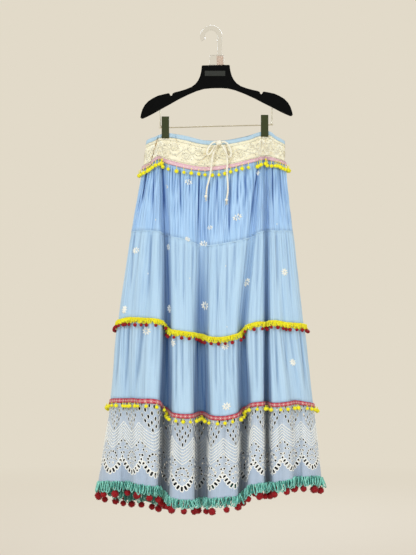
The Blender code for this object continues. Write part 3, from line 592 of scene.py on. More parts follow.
def endTree(graph, geometry, material):
    real = graph.add("GeometryNodeRealizeInstances", {}, {0: geometry})
    smooth = graph.add("GeometryNodeSetShadeSmooth", {}, {"Geometry": real})
    painted = graph.add("GeometryNodeSetMaterial", {}, {"Geometry": smooth, "Material": material})
    end = graph.tree.nodes.new("NodeGroupOutput")
    graph.tree.links.new(painted.socket, end.inputs[0])
    return graph.tree


def joined(graph, *parts):
    node = graph.tree.nodes.new("GeometryNodeJoinGeometry")
    for part in parts:
        graph.tree.links.new(part.socket, node.inputs[0])
    return Wire(graph, node.outputs[0])


def named(graph, key, kind):
    return graph.add("GeometryNodeInputNamedAttribute", {"data_type": kind}, {"Name": key})


def runTree(name, tree, mesh, material, slot, lengths, **others):  # lengths are in millimetres
    values = {key: value * 0.001 for key, value in lengths.items()}
    values.update(others, Material=material)
    carrier = bpy.data.objects.new("carrier", mesh)
    scene.collection.objects.link(carrier)
    modifier = carrier.modifiers.new("nodes", "NODES")
    modifier.node_group = tree
    for item in tree.interface.items_tree:
        if item.in_out == "INPUT" and item.name in values:
            modifier[item.identifier] = values[item.name]
    bpy.context.view_layer.update()
    evaluated = carrier.evaluated_get(bpy.context.evaluated_depsgraph_get())
    plain = bpy.data.meshes.new_from_object(evaluated)
    made = bpy.data.objects.new(name, plain)
    plain.name = name
    scene.collection.objects.link(made)
    bpy.data.objects.remove(carrier)
    return finished(made)


# Shares of a pompom's radius: its core, its fibres, its stem and how high the stem begins. The core's
# area is 4 pi times its share squared.
pompomShape = dict(core=0.84, coreArea=8.87, fibre=0.11, stem=0.13, hang=0.8)


def makePompomTree():  # fuzzy balls of short fibres hanging on stems from the points
    graph, given = newTree("pompoms", dict(Radius="Float", Fibre="Float", Fibres="Int", Stem="Float",
                                           Seed="Int", Material="Material"))
    core = graph.add("GeometryNodeMeshIcoSphere", {},
                     {"Radius": given["Radius"] * pompomShape["core"], "Subdivisions": 2})
    area = given["Radius"] * given["Radius"] * pompomShape["coreArea"]
    spread = graph.add("GeometryNodeDistributePointsOnFaces", {"distribute_method": "RANDOM"},
                       {"Mesh": core, "Density": given["Fibres"] / area, "Seed": given["Seed"]})
    way = Wire(graph, spread.socket.node.outputs["Rotation"])
    fibre = graph.add("GeometryNodeMeshCone", {"fill_type": "NONE"},
                      {"Vertices": 3, "Radius Top": 0.0, "Depth": given["Fibre"],
                       "Radius Bottom": given["Radius"] * pompomShape["fibre"]})
    length = graph.add("FunctionNodeRandomValue", {"data_type": "FLOAT"}, {2: 0.65, 3: 1.2}, 1)
    fuzz = graph.add("GeometryNodeInstanceOnPoints", {},
                     {"Points": spread, "Instance": fibre, "Rotation": way, "Scale": length})
    ball = joined(graph, core, fuzz)
    turn = graph.add("FunctionNodeRandomValue", {"data_type": "FLOAT_VECTOR"},
                     {0: (0, 0, 0), 1: (6.28, 6.28, 6.28), "Seed": given["Seed"]})
    size = named(graph, "size", "FLOAT")
    balls = graph.add("GeometryNodeInstanceOnPoints", {},
                      {"Points": given["Geometry"], "Instance": ball, "Rotation": turn, "Scale": size})
    stem = graph.add("GeometryNodeMeshCylinder", {},
                     {"Vertices": 5, "Radius": given["Radius"] * pompomShape["stem"], "Depth": given["Stem"]})
    lift = graph.vector(0.0, 0.0, given["Radius"] * pompomShape["hang"] + given["Stem"] * 0.5)
    raised = graph.add("GeometryNodeTransform", {}, {"Geometry": stem, "Translation": lift})
    stems = graph.add("GeometryNodeInstanceOnPoints", {}, {"Points": given["Geometry"], "Instance": raised})
    return endTree(graph, joined(graph, balls, stems), given["Material"])


def makeLoopTree():  # hanging loops of yarn, turned along the trim that carries them
    graph, given = newTree("yarn loops", dict(Width="Float", Height="Float", Yarn="Float", Seed="Int",
                                              Material="Material"))
    half = given["Width"] * 0.5
    wide = given["Width"] * 0.95
    deep = given["Height"] * -1.32
    loop = graph.add("GeometryNodeCurvePrimitiveBezierSegment", {"mode": "POSITION"},
                     {"Resolution": 9, "Start": graph.vector(half * -1.0), "End": graph.vector(half),
                      "Start Handle": graph.vector(wide * -1.0, 0.0, deep),
                      "End Handle": graph.vector(wide, 0.0, deep)})
    circle = graph.add("GeometryNodeCurvePrimitiveCircle", {},
                       {"Resolution": 4, "Radius": given["Yarn"] * 0.5})
    yarn = graph.add("GeometryNodeCurveToMesh", {},
                     {"Curve": loop, "Profile Curve": circle, "Fill Caps": True})
    facing = graph.add("FunctionNodeAlignRotationToVector", {"axis": "X", "pivot_axis": "Z"},
                       {"Vector": named(graph, "along", "FLOAT_VECTOR")})
    tilt = graph.add("FunctionNodeRandomValue", {"data_type": "FLOAT_VECTOR"},
                     {0: (-0.42, -0.42, -0.8), 1: (0.42, 0.42, 0.8), "Seed": given["Seed"]})
    turned = graph.add("FunctionNodeRotateRotation", {"rotation_space": "LOCAL"},
                       {"Rotation": facing, "Rotate By": tilt})
    size = graph.add("FunctionNodeRandomValue", {"data_type": "FLOAT_VECTOR"},
                     {0: (0.8, 0.9, 0.74), 1: (1.15, 1.1, 1.12), "Seed": given["Seed"]})
    loops = graph.add("GeometryNodeInstanceOnPoints", {},
                      {"Points": given["Geometry"], "Instance": yarn, "Rotation": turned, "Scale": size})
    return endTree(graph, loops, given["Material"])


def makePetalTree():  # small padded shapes that lie on the cloth: petals, leaves and dots
    graph, given = newTree("petals", dict(Length="Float", Width="Float", Height="Float",
                                          Material="Material"))
    seed = graph.add("GeometryNodeMeshUVSphere", {}, {"Segments": 8, "Rings": 5, "Radius": 0.5})
    shape = graph.vector(given["Length"], given["Width"], given["Height"] * 2.0)
    petal = graph.add("GeometryNodeTransform", {}, {"Geometry": seed, "Scale": shape})
    up = graph.add("FunctionNodeAlignRotationToVector", {"axis": "Z"},
                   {"Vector": named(graph, "facing", "FLOAT_VECTOR")})
    way = graph.add("FunctionNodeAlignRotationToVector", {"axis": "X", "pivot_axis": "Z"},
                    {"Rotation": up, "Vector": named(graph, "along", "FLOAT_VECTOR")})
    petals = graph.add("GeometryNodeInstanceOnPoints", {},
                       {"Points": given["Geometry"], "Instance": petal, "Rotation": way,
                        "Scale": named(graph, "size", "FLOAT")})
    return endTree(graph, petals, given["Material"])


def makeStitchTree():  # short round stitches, end to end along lines
    graph, given = newTree("stitches", dict(Length="Float", Thread="Float", Slant="Float",
                                            Material="Material"))
    lines = graph.add("GeometryNodeMeshToCurve", {}, {0: given["Geometry"]})
    spots = graph.add("GeometryNodeResampleCurve", {"mode": "LENGTH"},
                      {"Curve": lines, "Length": given["Length"]})
    tangent = graph.add("GeometryNodeInputTangent")
    way = graph.add("FunctionNodeAlignRotationToVector", {"axis": "X"}, {"Vector": tangent})
    turned = graph.add("FunctionNodeRotateRotation", {"rotation_space": "LOCAL"},
                       {"Rotation": way, "Rotate By": graph.vector(0.0, given["Slant"])})
    seed = graph.add("GeometryNodeMeshUVSphere", {}, {"Segments": 4, "Rings": 3, "Radius": 0.5})
    shape = graph.vector(given["Length"] * 1.3, given["Thread"], given["Thread"])
    stitch = graph.add("GeometryNodeTransform", {}, {"Geometry": seed, "Scale": shape})
    made = graph.add("GeometryNodeInstanceOnPoints", {},
                     {"Points": spots, "Instance": stitch, "Rotation": turned})
    return endTree(graph, made, given["Material"])


pompomTree = makePompomTree()
loopTree = makeLoopTree()
petalTree = makePetalTree()
stitchTree = makeStitchTree()
print("trees built")


# Materials

clothGrain = dict(streak=(230, 11), broad=(26, 5), slub=(900, 260), ridge=(560, 3.5), speck=620,
                  thread=0.0011, stitchRow=0.0038)  # repeats a metre along and up; pitches in metres


# pale and base are the cloth's own tones, mixed at random; deep is the tone of painted shade in folds,
# valleys and on the inner side
def makeCloth(name, pale, base, deep, streaks, foldShare, valleyShare, innerDark=0.6, stitching=False):
    made, graph = newMaterial(name, Roughness=0.9, Sheen_Weight=0.2, Sheen_Roughness=0.5)
    along, up = graph.flat()

    def grain(key, layer, detail):
        wide, tall = clothGrain[key]
        return graph.noise(along * wide, up * tall, layer, detail)

    streak = grain("streak", 0.0, 3.0)
    broad = grain("broad", 4.0, 2.0)
    slub = grain("slub", 2.0, 2.0)
    # painted shade in the folds, sharpened towards their edges
    fold = graph.painted("fold")
    fold = ((fold - 0.34) * 3.4).clamp() * 0.6 + fold * 0.4
    lines = ((grain("ridge", 7.0, 2.0) - 0.55) * 7.0).clamp()
    light = graph.blend(((streak - 0.42) * 1.3 * streaks + (broad - 0.4) * 0.9).clamp(), pale, base)
    if stitching:  # dotted white stitching fills the ground above the ladder
        dots = graph.noise(along * clothGrain["speck"], up * clothGrain["speck"], 5.0, 1.0)
        wander = (along * 190.0).wave() * 1.4
        rows = (up * (2 * math.pi / clothGrain["stitchRow"]) + wander).wave() * 0.5 + 0.5
        stitched = graph.painted("stitched") * ((dots - 0.45) * 6.0 + rows * 0.6 - 0.25).clamp() * 0.55
        light = graph.blend(stitched.clamp(), light, tone(248, 249, 244))
    # dark mixes painted shade (folds, gather and crease valleys, the inner side) with the cloth's random
    # slubs, streaks and thin lines
    dark = (fold * foldShare + graph.painted("valley") * valleyShare + (slub - 0.5) * 0.16
            + (streak - 0.5) * streaks * 0.25 + lines * streaks * 0.45
            + graph.painted("inner") * innerDark).clamp()
    graph.feed("Base Color", graph.blend(dark, light, deep))
    turns = 2 * math.pi / clothGrain["thread"]
    threads = (along * turns).wave() * (up * turns).wave() * 0.5 + 0.5
    graph.feedBump(streak * 0.9 * streaks + slub * 0.35 + threads * 0.18, 0.0009, 0.7)
    return made


def makeThread(name, base, deep, scale=900.0, sheen=0.3):
    made, graph = newMaterial(name, Roughness=0.85, Sheen_Weight=sheen)
    grain = graph.objectNoise(scale, 3.0)
    broad = graph.objectNoise(60.0, 1.0)
    mix = ((grain - 0.42) * 2.6 + (broad - 0.5) * 1.6).clamp()
    graph.feed("Base Color", graph.blend(mix, base, deep))
    graph.feedBump(grain, 0.0006, 0.8)
    return made


# each cloth's third tone is its painted shade
yokeCloth = makeCloth("yokeCloth", tone(182, 216, 250), tone(154, 198, 240), tone(44, 90, 160),
                      1.0, 0.5, 0.56)
tierCloth = makeCloth("tierCloth", tone(190, 220, 244), tone(166, 203, 236), tone(44, 88, 150),
                      0.5, 0.8, 0.3)
lowerCloth = makeCloth("lowerCloth", tone(192, 221, 244), tone(166, 202, 234), tone(44, 88, 140),
                       0.45, 0.82, 0.3)
bindingCloth = makeCloth("bindingCloth", tone(188, 213, 229), tone(160, 196, 219), tone(86, 130, 160),
                         0.5, 0.25, 0.5)
borderCloth = makeCloth("borderCloth", tone(186, 201, 221), tone(152, 173, 198), tone(20, 30, 44),
                        0.35, 0.6, 0.36, innerDark=1.0, stitching=True)
creamThread = makeThread("creamThread", tone(255, 253, 238), tone(240, 232, 208))
flowerThread = makeThread("flowerThread", tone(252, 250, 240), tone(228, 226, 214))
yellowYarn = makeThread("yellowYarn", tone(255, 250, 20), tone(255, 236, 0), 700.0)
yellowWool = makeThread("yellowWool", tone(255, 248, 24), tone(255, 234, 0), 700.0)
redWool = makeThread("redWool", tone(172, 4, 22), tone(110, 0, 10), 700.0, 0.06)
tealYarn = makeThread("tealYarn", tone(156, 236, 220), tone(46, 152, 140), 420.0)
tealShade = makeThread("tealShade", tone(60, 160, 146), tone(8, 84, 78), 420.0)
print("thread and cloth materials made")


# Cloth panels

seamGap = 0.3
seamTuck = 4.5
borderTuck = 5.0
borderTop = float(lower(4, borderTuck))
panels = {
    "yoke": dict(top=1 - seamTuck / tierHeight[0], bottom=float(lower(2, -seamGap / 2)), columns=520,
                 rows=18, thickness=0.9, material=yokeCloth, slot="yoke", node="yoke"),
    "tier_one": dict(top=float(lower(2, seamGap / 2)), bottom=float(lower(3, -seamGap / 2)), columns=430,
                     rows=18, thickness=0.9, material=tierCloth, slot="tier", node="tier_one"),
    "tier_two": dict(top=float(lower(3, seamGap / 2)), bottom=float(borderTop - 0.002), columns=450, rows=17,
                     thickness=0.9, material=lowerCloth, slot="tier", node="tier_two"),
    "waist_binding": dict(top=0.0, bottom=9.5 / tierHeight[0], columns=220, rows=3, thickness=1.6,
                          material=bindingCloth, slot="binding", node="waist_binding"),
}
for half in halves:
    for name, sizes in panels.items():
        clothPanel(name, half, **sizes)
print("panels draped")


# Pompoms hang on their trims at nearly even places, smaller where a fold is narrow

pompomFit = dict(gap=3.9, smallest=1.0, leastShare=0.88)


def roomAt(half, place, level, out, radius):  # the radius that fits here
    across = np.linspace(0, 1, 1201)
    outline = np.stack([sample(half, "x", across, level), sample(half, "out", across, level)], axis=1)
    here = np.array([sample(half, "x", place, level), sample(half, "out", place, level)])
    way = unit(np.array([sample(half, "nx", place, level), sample(half, "nout", place, level)]))
    apart = outline - here
    ahead = apart @ way
    aside = np.abs(apart @ np.array([-way[1], way[0]]))
    blocked = (ahead > 2.0) & (aside < 3.0)
    width = float(ahead[blocked].min()) if blocked.any() else 100.0
    nearest = float(np.hypot(*(apart - way * out).T).min())
    return min(radius, width / 4 - 1.2, (nearest - pompomFit["gap"]) / 1.1)


def pompomRow(name, half, level, count, radius, inner, thickness, stem, sway, dip, fibre, fibres, material,
              slot, height=0):
    points, scales = [], []
    surface = inner + thickness / 2
    for index in range(count):
        place = (index + 0.5) / count
        fits, out = radius, surface
        if level < 5:
            out = max(surface, pompomFit["gap"] + radius)
            fits = roomAt(half, place, level, out, radius)
        if fits < pompomFit["smallest"]:
            continue
        fits = max(fits, pompomFit["leastShare"] * radius)
        aside = sway * math.sin(index * 12.9898 + (4 if half == "back" else 0))
        sunk = dip * (0.5 + 0.5 * math.sin(index * 7.233 + 1.3))
        spot = np.clip(place + aside / ringLength(half, level), 0.004, 0.996)
        points.append(drape(half, spot, level, out, False) - np.array([0, 0, height + stem + fits + sunk]))
        scales.append(fits / radius * (0.94 + 0.1 * math.sin(index * 3.7)))
    print(name, half, len(points), "pompoms")
    lengths = dict(Radius=radius, Fibre=fibre, Stem=stem + dip / 2 + 2.5)
    return runTree(name + "_" + half, pompomTree, pointMesh(points, None, dict(size=scales)), material, slot,
                   lengths, Fibres=fibres, Seed=7)


pompomRows = {
    "waistPompoms": dict(level=1.0, count=42, radius=6.2, inner=3.6, thickness=1.3, stem=3.0,
                         sway=5.2, dip=4.2, fibre=1.6, fibres=90, material=yellowWool, slot="pink_braid"),
    "loopTrimPompoms": dict(level=float(lower(3, 8.5)), count=46, radius=5.6, inner=3.2,
                            thickness=4.5, stem=-2.2, sway=2.6, dip=1.8, fibre=1.5, fibres=90,
                            material=redWool, slot="yellow_yarn"),
    "braidPompoms": dict(level=float(lower(4, 11)), count=54, radius=6.0, inner=2.8,
                         thickness=1.5, stem=0.8, sway=2.2, dip=1.6, fibre=1.5, fibres=90,
                         material=yellowWool, slot="raspberry_braid"),
    "hemPompoms": dict(level=5.0, count=28, radius=9.6, inner=-1.6, thickness=3.2, height=15,
                       stem=2.5, sway=6.0, dip=5.0, fibre=2.4, fibres=150, material=redWool,
                       slot="teal_loops"),
}
for half in halves:
    for name, sizes in pompomRows.items():
        pompomRow(name, half, **sizes)
print("pompoms hung")


# Tapes and braids that lie on the cloth

def braidMaterial(name, ground, edge, figure, pitch, grainScale):
    made, graph = newMaterial(name, Roughness=0.8, Sheen_Weight=0.25)
    along = graph.flat()[0]
    step = (along / pitch).math("FRACT") - 0.5
    across = graph.painted("across")
    middle = ((across - 0.5) * 2.0).math("ABSOLUTE")
    diamond = step.math("ABSOLUTE") * 2.0 + middle * 1.25
    line = 1.0 - ((diamond - 0.9).math("ABSOLUTE") * 3.4).clamp()
    core = 1.0 - (diamond * 2.0).clamp()
    grain = graph.noise(along * grainScale, across * 14.0)
    inside = graph.blend((line * 0.5 + core * 1.8 + (grain - 0.5) * 0.5).clamp(), ground, figure)
    rim = ((middle - 0.72) * 8.0).clamp()
    colour = graph.blend((rim + (grain - 0.6) * 0.4).clamp(), inside, edge)
    # painted shade: the braid darkens in the skirt's folds towards a dim copy of its edge tone
    dark = (*(0.3 * part for part in edge[:3]), 1)
    graph.feed("Base Color", graph.blend((graph.painted("fold") * 0.5).clamp(), colour, dark))
    ribs = (along * (2 * math.pi / 0.0016)).wave() * 0.5 + 0.5
    graph.feedBump(ribs * 0.5 + line * 0.8 + grain * 0.4, 0.0007)
    return made


def tape(name, half, top, height, inner, thickness, columns, profile, material, slot, node=""):
    rows = len(profile) - 1
    share = np.linspace(0.0004, 0.9996, columns + 1)
    across, places = np.meshgrid(np.linspace(0, 1, rows + 1), share, indexing="ij")
    levels = lower(top, across * height)
    rise = np.array(profile)[:, None] * thickness + np.zeros_like(places)
    lift = relief(half, places, np.full_like(places, top), sample(half, "x", places, levels))[0] * 0.35
    outer, under = (drape(half, places, levels, inner + part + lift, False).reshape(-1, 3)
                    for part in (rise, -0.15))
    flat = np.stack([places.ravel() * ringLength(half, top), -across.ravel() * height], axis=1)
    piece = clothShell(name + "_" + half, half, outer, under, gridFaces(rows, columns, half), material, flat,
                       places, levels, inside=0, across=across)
    return finished(piece, node and node + "_" + half)


pinkBraid = braidMaterial("pinkBraid", tone(238, 190, 204), tone(222, 156, 180), tone(252, 226, 222),
                          0.0062, 1400.0)
raspberryBraid = braidMaterial("raspberryBraid", tone(206, 40, 74), tone(184, 26, 58),
                               tone(255, 240, 230), 0.0098, 1100.0)
yellowTape = makeThread("yellowTape", tone(255, 240, 0), tone(250, 216, 0))
braids = {
    "waistBraid": dict(top=float(lower(1, -9)), height=9, inner=3.3, thickness=1.3, columns=330,
                       profile=(0.5, 0.95, 0.75, 0.85, 0.75, 0.95, 0.5), material=pinkBraid,
                       slot="pink_braid", node="waist_trim"),
    "borderBraid": dict(top=4.0, height=11, inner=2.5, thickness=1.5, columns=420,
                        profile=(0.5, 1.0, 0.6, 0.85, 0.85, 0.6, 1.0, 0.5), material=raspberryBraid,
                        slot="raspberry_braid", node="border_braid"),
    "loopTape": dict(top=float(lower(3, -5.5)), height=6, inner=2.6, thickness=1.4, columns=240,
                     profile=(0.5, 1.0, 0.5), material=yellowTape, slot="yellow_yarn", node="loop_trim"),
    "yokeSeam": dict(top=float(lower(2, -1.6)), height=3.2, inner=0.2, thickness=1.0, columns=420,
                     profile=(0.3, 1.0, 0.3), material=tierCloth, slot="tier"),
}
for half in halves:
    for name, sizes in braids.items():
        tape(name, half, **sizes)


def loopRow(name, half, level, pitch, out, rise, width, height, yarn, material, slot, seed, node=""):
    ring = ringLength(half, level)
    count = int(ring / pitch)
    places = (np.arange(count) + 0.5) / count
    ways = unit(ringWay(half, places, level, 1.5 / ring, out))
    ways[:, 2] = 0
    tops = drape(half, places, level, out, False) + np.array([0, 0, rise])
    made = runTree(name + "_" + half, loopTree, pointMesh(tops, dict(along=unit(ways))), material, slot,
                   dict(Width=width, Height=height, Yarn=yarn), Seed=seed)
    if node:
        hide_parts(node + "_" + half)


loopRows = {
    "trimLoopsUpper": dict(level=float(lower(3, -4)), pitch=3.3, out=5.4, rise=0.6, width=4.2, height=9,
                           yarn=2.5, material=yellowYarn, slot="yellow_yarn", seed=3),
    "trimLoopsLower": dict(level=float(lower(3, 0)), pitch=3.4, out=5.2, rise=0.6, width=4.4, height=10,
                           yarn=2.5, material=yellowYarn, slot="yellow_yarn", seed=5),
    "hemLoopsOuter": dict(level=5.0, pitch=5.4, out=1.4, rise=1.5, width=8.6, height=26, yarn=2.8,
                          material=tealYarn, slot="teal_loops", seed=11, node="hem_fringe"),
    "hemLoopsInner": dict(level=5.0, pitch=4.6, out=-1.4, rise=0.8, width=8.8, height=20, yarn=2.8,
                          material=tealShade, slot="teal_loops", seed=13),
}
for half in halves:
    for name, sizes in loopRows.items():
        loopRow(name, half, **sizes)
print("braids and loops laid")


# Eyelet border: the flat pattern with all its holes, draped, and a satin rim on every hole

borderSizes = dict(
    scallops=dict(front=14, back=13), shift=0.584, ladderFoot=26, ladderCusp=62, bars=10,
    barLength=(7.4, 11.4), barWidth=(4.8, 5.9), grain=3.6, thickness=0.8, rimHeight=0.75,
    stitchTop=176,
)
# Round eyelets of one scallop: distance right of the left cusp as a share of the pitch, height over the
# hem, radius. The leaves are given from the scallop's middle in millimetres with their lean.
chevron = ((0.03, 109, 2.3), (0.1, 101, 2.8), (-0.08, 101, 2.7), (-0.19, 93, 2.7), (0.2, 93, 2.8),
           (-0.12, 84, 2.4), (0.12, 85, 2.5), (-0.055, 72, 2.5), (0.06, 72, 2.9), (0.24, 82, 1.9),
           (-0.24, 81, 1.9))
ringEyelets = dict(middle=(0.5, 60), radius=15.5, count=8, hole=2.8, start=-14, end=194)
innerDots = ((0.41, 47, 2.2), (0.59, 47, 2.2), (0.5, 60, 2.4), (0.39, 57, 1.6), (0.61, 57, 1.6))
leaves = ((0, 131, 0.0), (8, 141, 0.2), (-8, 143, -0.2), (-1, 149, 0.0), (15, 153, 0.22), (-15, 154, -0.2),
          (7, 159, 0.1), (-8, 163, -0.1), (21, 165, 0.2), (-22, 167, -0.2), (0, 171, 0.0), (14, 175, 0.1),
          (-14, 179, -0.1), (29, 179, 0.1), (-29, 182, 0.0), (5, 187, 0.0), (-5, 189, 0.0), (22, 190, 0.0),
          (-22, 192, 0.0))
leafSize = (2.5, 5.4)


def ladderHeight(turn):  # over the hem, by the turn from one cusp to the next
    cusp, foot = borderSizes["ladderCusp"], borderSizes["ladderFoot"]
    return cusp - (cusp - foot) * np.sin(turn) ** 0.9


def ladderBars(pitch):
    across = np.linspace(0, pitch, 401)
    up = ladderHeight(math.pi * across / pitch)
    length = np.concatenate(([0.0], np.cumsum(np.hypot(np.diff(across), np.diff(up)))))
    rows = []
    for bar in range(borderSizes["bars"]):
        target = length[-1] * bar / borderSizes["bars"]
        grow = math.sin(math.pi * bar / borderSizes["bars"])
        long, wide = (low + (high - low) * grow
                      for low, high in (borderSizes["barLength"], borderSizes["barWidth"]))
        a, b = (np.interp(target, length, line) for line in (across, up))
        if bar == 0:
            rows.append((a, b, (wide / 2, 0.0), (0.0, wide * 0.6)))
            continue
        ahead, rise = (np.interp(target + 1, length, line) - np.interp(target - 1, length, line)
                       for line in (across, up))
        size = math.hypot(ahead, rise)
        ahead, rise = ahead / size, rise / size
        rows.append((a, b, (ahead * wide / 2, rise * wide / 2), (-rise * long / 2, ahead * long / 2)))
    return rows


def scallopOf(half):  # length of the hem, width of one scallop, where the first cusp lies
    width = float(drapeTables[half]["along"][-1][0])
    pitch = width / borderSizes["scallops"][half]
    return width, pitch, borderSizes["shift"] * pitch


def borderHoles(half):  # middle, two half axes, corner sharpness, rim width
    width, pitch, shift = scallopOf(half)
    ring = ringEyelets
    made = []
    for scallop in range(-1, borderSizes["scallops"][half] + 1):
        left = shift + scallop * pitch
        for a, b, wide, long in ladderBars(pitch):
            made.append(((left + a, b), wide, long, 4.0, 2.2))
        for share, b, radius in chevron + innerDots:
            made.append(((left + share * pitch, b), (radius, 0), (0, radius), 2.0, 1.3))
        for angle in np.radians(np.linspace(ring["start"], ring["end"], ring["count"])):
            middle = (left + ring["middle"][0] * pitch + ring["radius"] * math.cos(angle),
                      ring["middle"][1] + ring["radius"] * math.sin(angle))
            made.append((middle, (ring["hole"], 0), (0, ring["hole"]), 2.0, 1.1))
        for da, b, lean in leaves:
            wide, long = leafSize
            c, s = math.cos(lean), math.sin(lean)
            made.append(((left + pitch / 2 + da, b), (wide * c, -wide * s), (long * s, long * c), 1.5, 1.2))
    return [hole for hole in made if 4.5 < hole[0][0] < width - 4.5]


def cornersOf(hole):  # bars have squarer ends than round eyelets
    return 12 if hole[3] > 3 else 8


def holeRing(hole, grow):
    middle, wide, long, sharp = hole[:4]
    corners = cornersOf(hole)
    turn = (np.arange(corners) + 0.5) * 2 * math.pi / corners
    u, v = (np.sign(part) * np.abs(part) ** (2 / sharp) for part in (np.cos(turn), np.sin(turn)))
    u, v = u * (1 + grow / math.hypot(*wide)), v * (1 + grow / math.hypot(*long))
    return np.stack([middle[0] + u * wide[0] + v * long[0], middle[1] + u * wide[1] + v * long[1]], axis=1)


def borderPlace(half, flat, out):
    width = scallopOf(half)[0]
    level = 5 - np.clip(flat[:, 1], 0, tierHeight[4]) / tierHeight[4]
    place = np.clip(flat[:, 0] / width, 0, 1)
    margin = 0.1 / width
    return drape(half, margin + place * (1 - 2 * margin), level, out), place, level


def flatBorder(width, holes):  # the flat cloth as triangles, without its holes
    height = tierHeight[4] - borderTuck - seamGap / 2
    points, edges = [], []

    def loop(corners):
        first = len(points)
        points.extend(corners)
        count = len(corners)
        edges.extend((first + index, first + (index + 1) % count) for index in range(count))

    columns, rows = int(width / borderSizes["grain"]), int(height / borderSizes["grain"])
    along = np.linspace(0, width, columns + 1)
    loop([(a, 0.0) for a in along] + [(a, height) for a in along[::-1]])
    for hole in holes:
        loop([tuple(corner) for corner in holeRing(hole, 0.0)])
    taken = np.array([hole[0] for hole in holes])
    reach = np.array([max(math.hypot(*hole[1]), math.hypot(*hole[2])) for hole in holes])
    for row in range(1, rows):
        for column in range(1, columns):
            spot = np.array((width * (column + 0.5 * (row % 2)) / columns, height * row / rows))
            if spot[0] < width - 1 and (np.hypot(*(taken - spot).T) > reach + 1.0).all():
                points.append(tuple(spot))
    filled = delaunay_2d_cdt([Vector(point) for point in points], edges, [], 0, 1e-4)
    flat = np.array([tuple(point) for point in filled[0]])
    faces = np.array(filled[2])
    centres = flat[faces].mean(axis=1)
    inHole = np.zeros(len(faces), bool)
    for hole in holes:
        middle, wide, long, sharp = hole[:4]
        near = np.abs(centres[:, 0] - middle[0]) < 8
        apart = centres[near] - np.array(middle)
        s = np.abs(apart @ np.array(wide)) / (wide[0] ** 2 + wide[1] ** 2)
        t = np.abs(apart @ np.array(long)) / (long[0] ** 2 + long[1] ** 2)
        inHole[np.flatnonzero(near)[(s ** sharp + t ** sharp) < 1.0]] = True
    return flat, [tuple(face) for face in faces[~inHole]]


def holeRims(half, holes):  # a raised satin ring round every hole
    rows, faces, count = [], [], 0
    surface = borderSizes["thickness"] / 2
    for hole in holes:
        corners = cornersOf(hole)
        for grow, rise in ((hole[4], 0.05), (0.6 * hole[4], 1.0), (0.25, 0.85), (-0.15, 0.0)):
            out = np.full((corners, 1), surface + rise * borderSizes["rimHeight"])
            rows.append(np.concatenate([holeRing(hole, grow), out], axis=1))
        faces += tubeFaces(4, corners, False, count)
        count += 4 * corners
    rows = np.concatenate(rows)
    placed, place, level = borderPlace(half, rows[:, :2], rows[:, 2])
    rims = addMesh("eyeletRims_" + half, placed, outwards(faces, half), satinThread, rows[:, :2],
                   dict(fold=sample(half, "shade", place, level)), closed=False)
    finished(rims)


def makeBorder(half):
    width, pitch, shift = scallopOf(half)
    holes = borderHoles(half)
    flat, faces = flatBorder(width, holes)
    surface = borderSizes["thickness"] / 2
    outer, place, level = borderPlace(half, flat, surface)
    inner = borderPlace(half, flat, -surface)[0]
    ladder = ladderHeight(math.pi * (np.mod(flat[:, 0] - shift, pitch) / pitch))
    stitched = np.clip((flat[:, 1] - ladder) / 3, 0, 1) * np.clip(
        (borderSizes["stitchTop"] - flat[:, 1]) / 30, 0.25, 1)
    piece = clothShell("eyeletCloth_" + half, half, outer, inner, outwards(faces, half), borderCloth, flat,
                       place, level, valley=valleyOf(half, place, level), stitched=stitched)
    finished(piece, "eyelet_border_" + half)
    holeRims(half, holes)
    return len(holes)


def makeSatin():
    made, graph = newMaterial("satinThread", Roughness=0.6, Sheen_Weight=0.3)
    along, up = graph.flat()
    grain = graph.noise(along * 1500.0, up * 1500.0, 0.0, 3.0)
    light = graph.blend(((grain - 0.4) * 1.6).clamp(), tone(255, 255, 250), tone(240, 240, 234))
    shaded = ((graph.painted("fold") - 0.36) * 1.9).clamp() * 0.72
    graph.feed("Base Color", graph.blend(shaded, light, tone(70, 84, 100)))
    graph.feedBump(grain, 0.0005, 0.8)
    return made


satinThread = makeSatin()
for half in halves:
    print("border", half, "holes:", makeBorder(half))


# Festoon lines of stitches above the scallops, and the lace's scrolls

def stitchLines(name, lines, sizes, material, slot, shades=()):
    points, edges = [], []
    for line in lines:
        first = len(points)
        points.extend(line)
        edges.extend((first + index, first + index + 1) for index in range(len(line) - 1))
    numbers = dict(fold=np.concatenate(shades)) if len(shades) else None
    runTree(name, stitchTree, pointMesh(points, None, numbers, edges), material, slot,
            dict(Length=sizes["length"], Thread=sizes["thread"]), Slant=sizes["slant"])


festoons = dict(lines=6, gap=7.6, peak=149, drop=27, sharp=0.55, lift=0.75, length=3.4, thread=2.9, slant=0.0)
for half in halves:
    width, pitch, shift = scallopOf(half)
    across = np.linspace(1.0, width - 1.0, 700)
    turn = np.mod(across - shift, pitch) / pitch
    sharp = festoons["sharp"]
    sag = sharp * (1 - np.abs(2 * turn - 1)) + (1 - sharp) * np.sin(math.pi * turn)
    lines, shades = [], []
    for index in range(festoons["lines"]):
        up = festoons["peak"] - festoons["gap"] * index - festoons["drop"] * sag
        line, place, level = borderPlace(half, np.stack([across, up], axis=1), festoons["lift"])
        lines.append(line)
        shades.append(sample(half, "shade", place, level))
    stitchLines("festoonStitches_" + half, lines, festoons, satinThread, "border", shades)
print("festoons stitched")


# Flowers

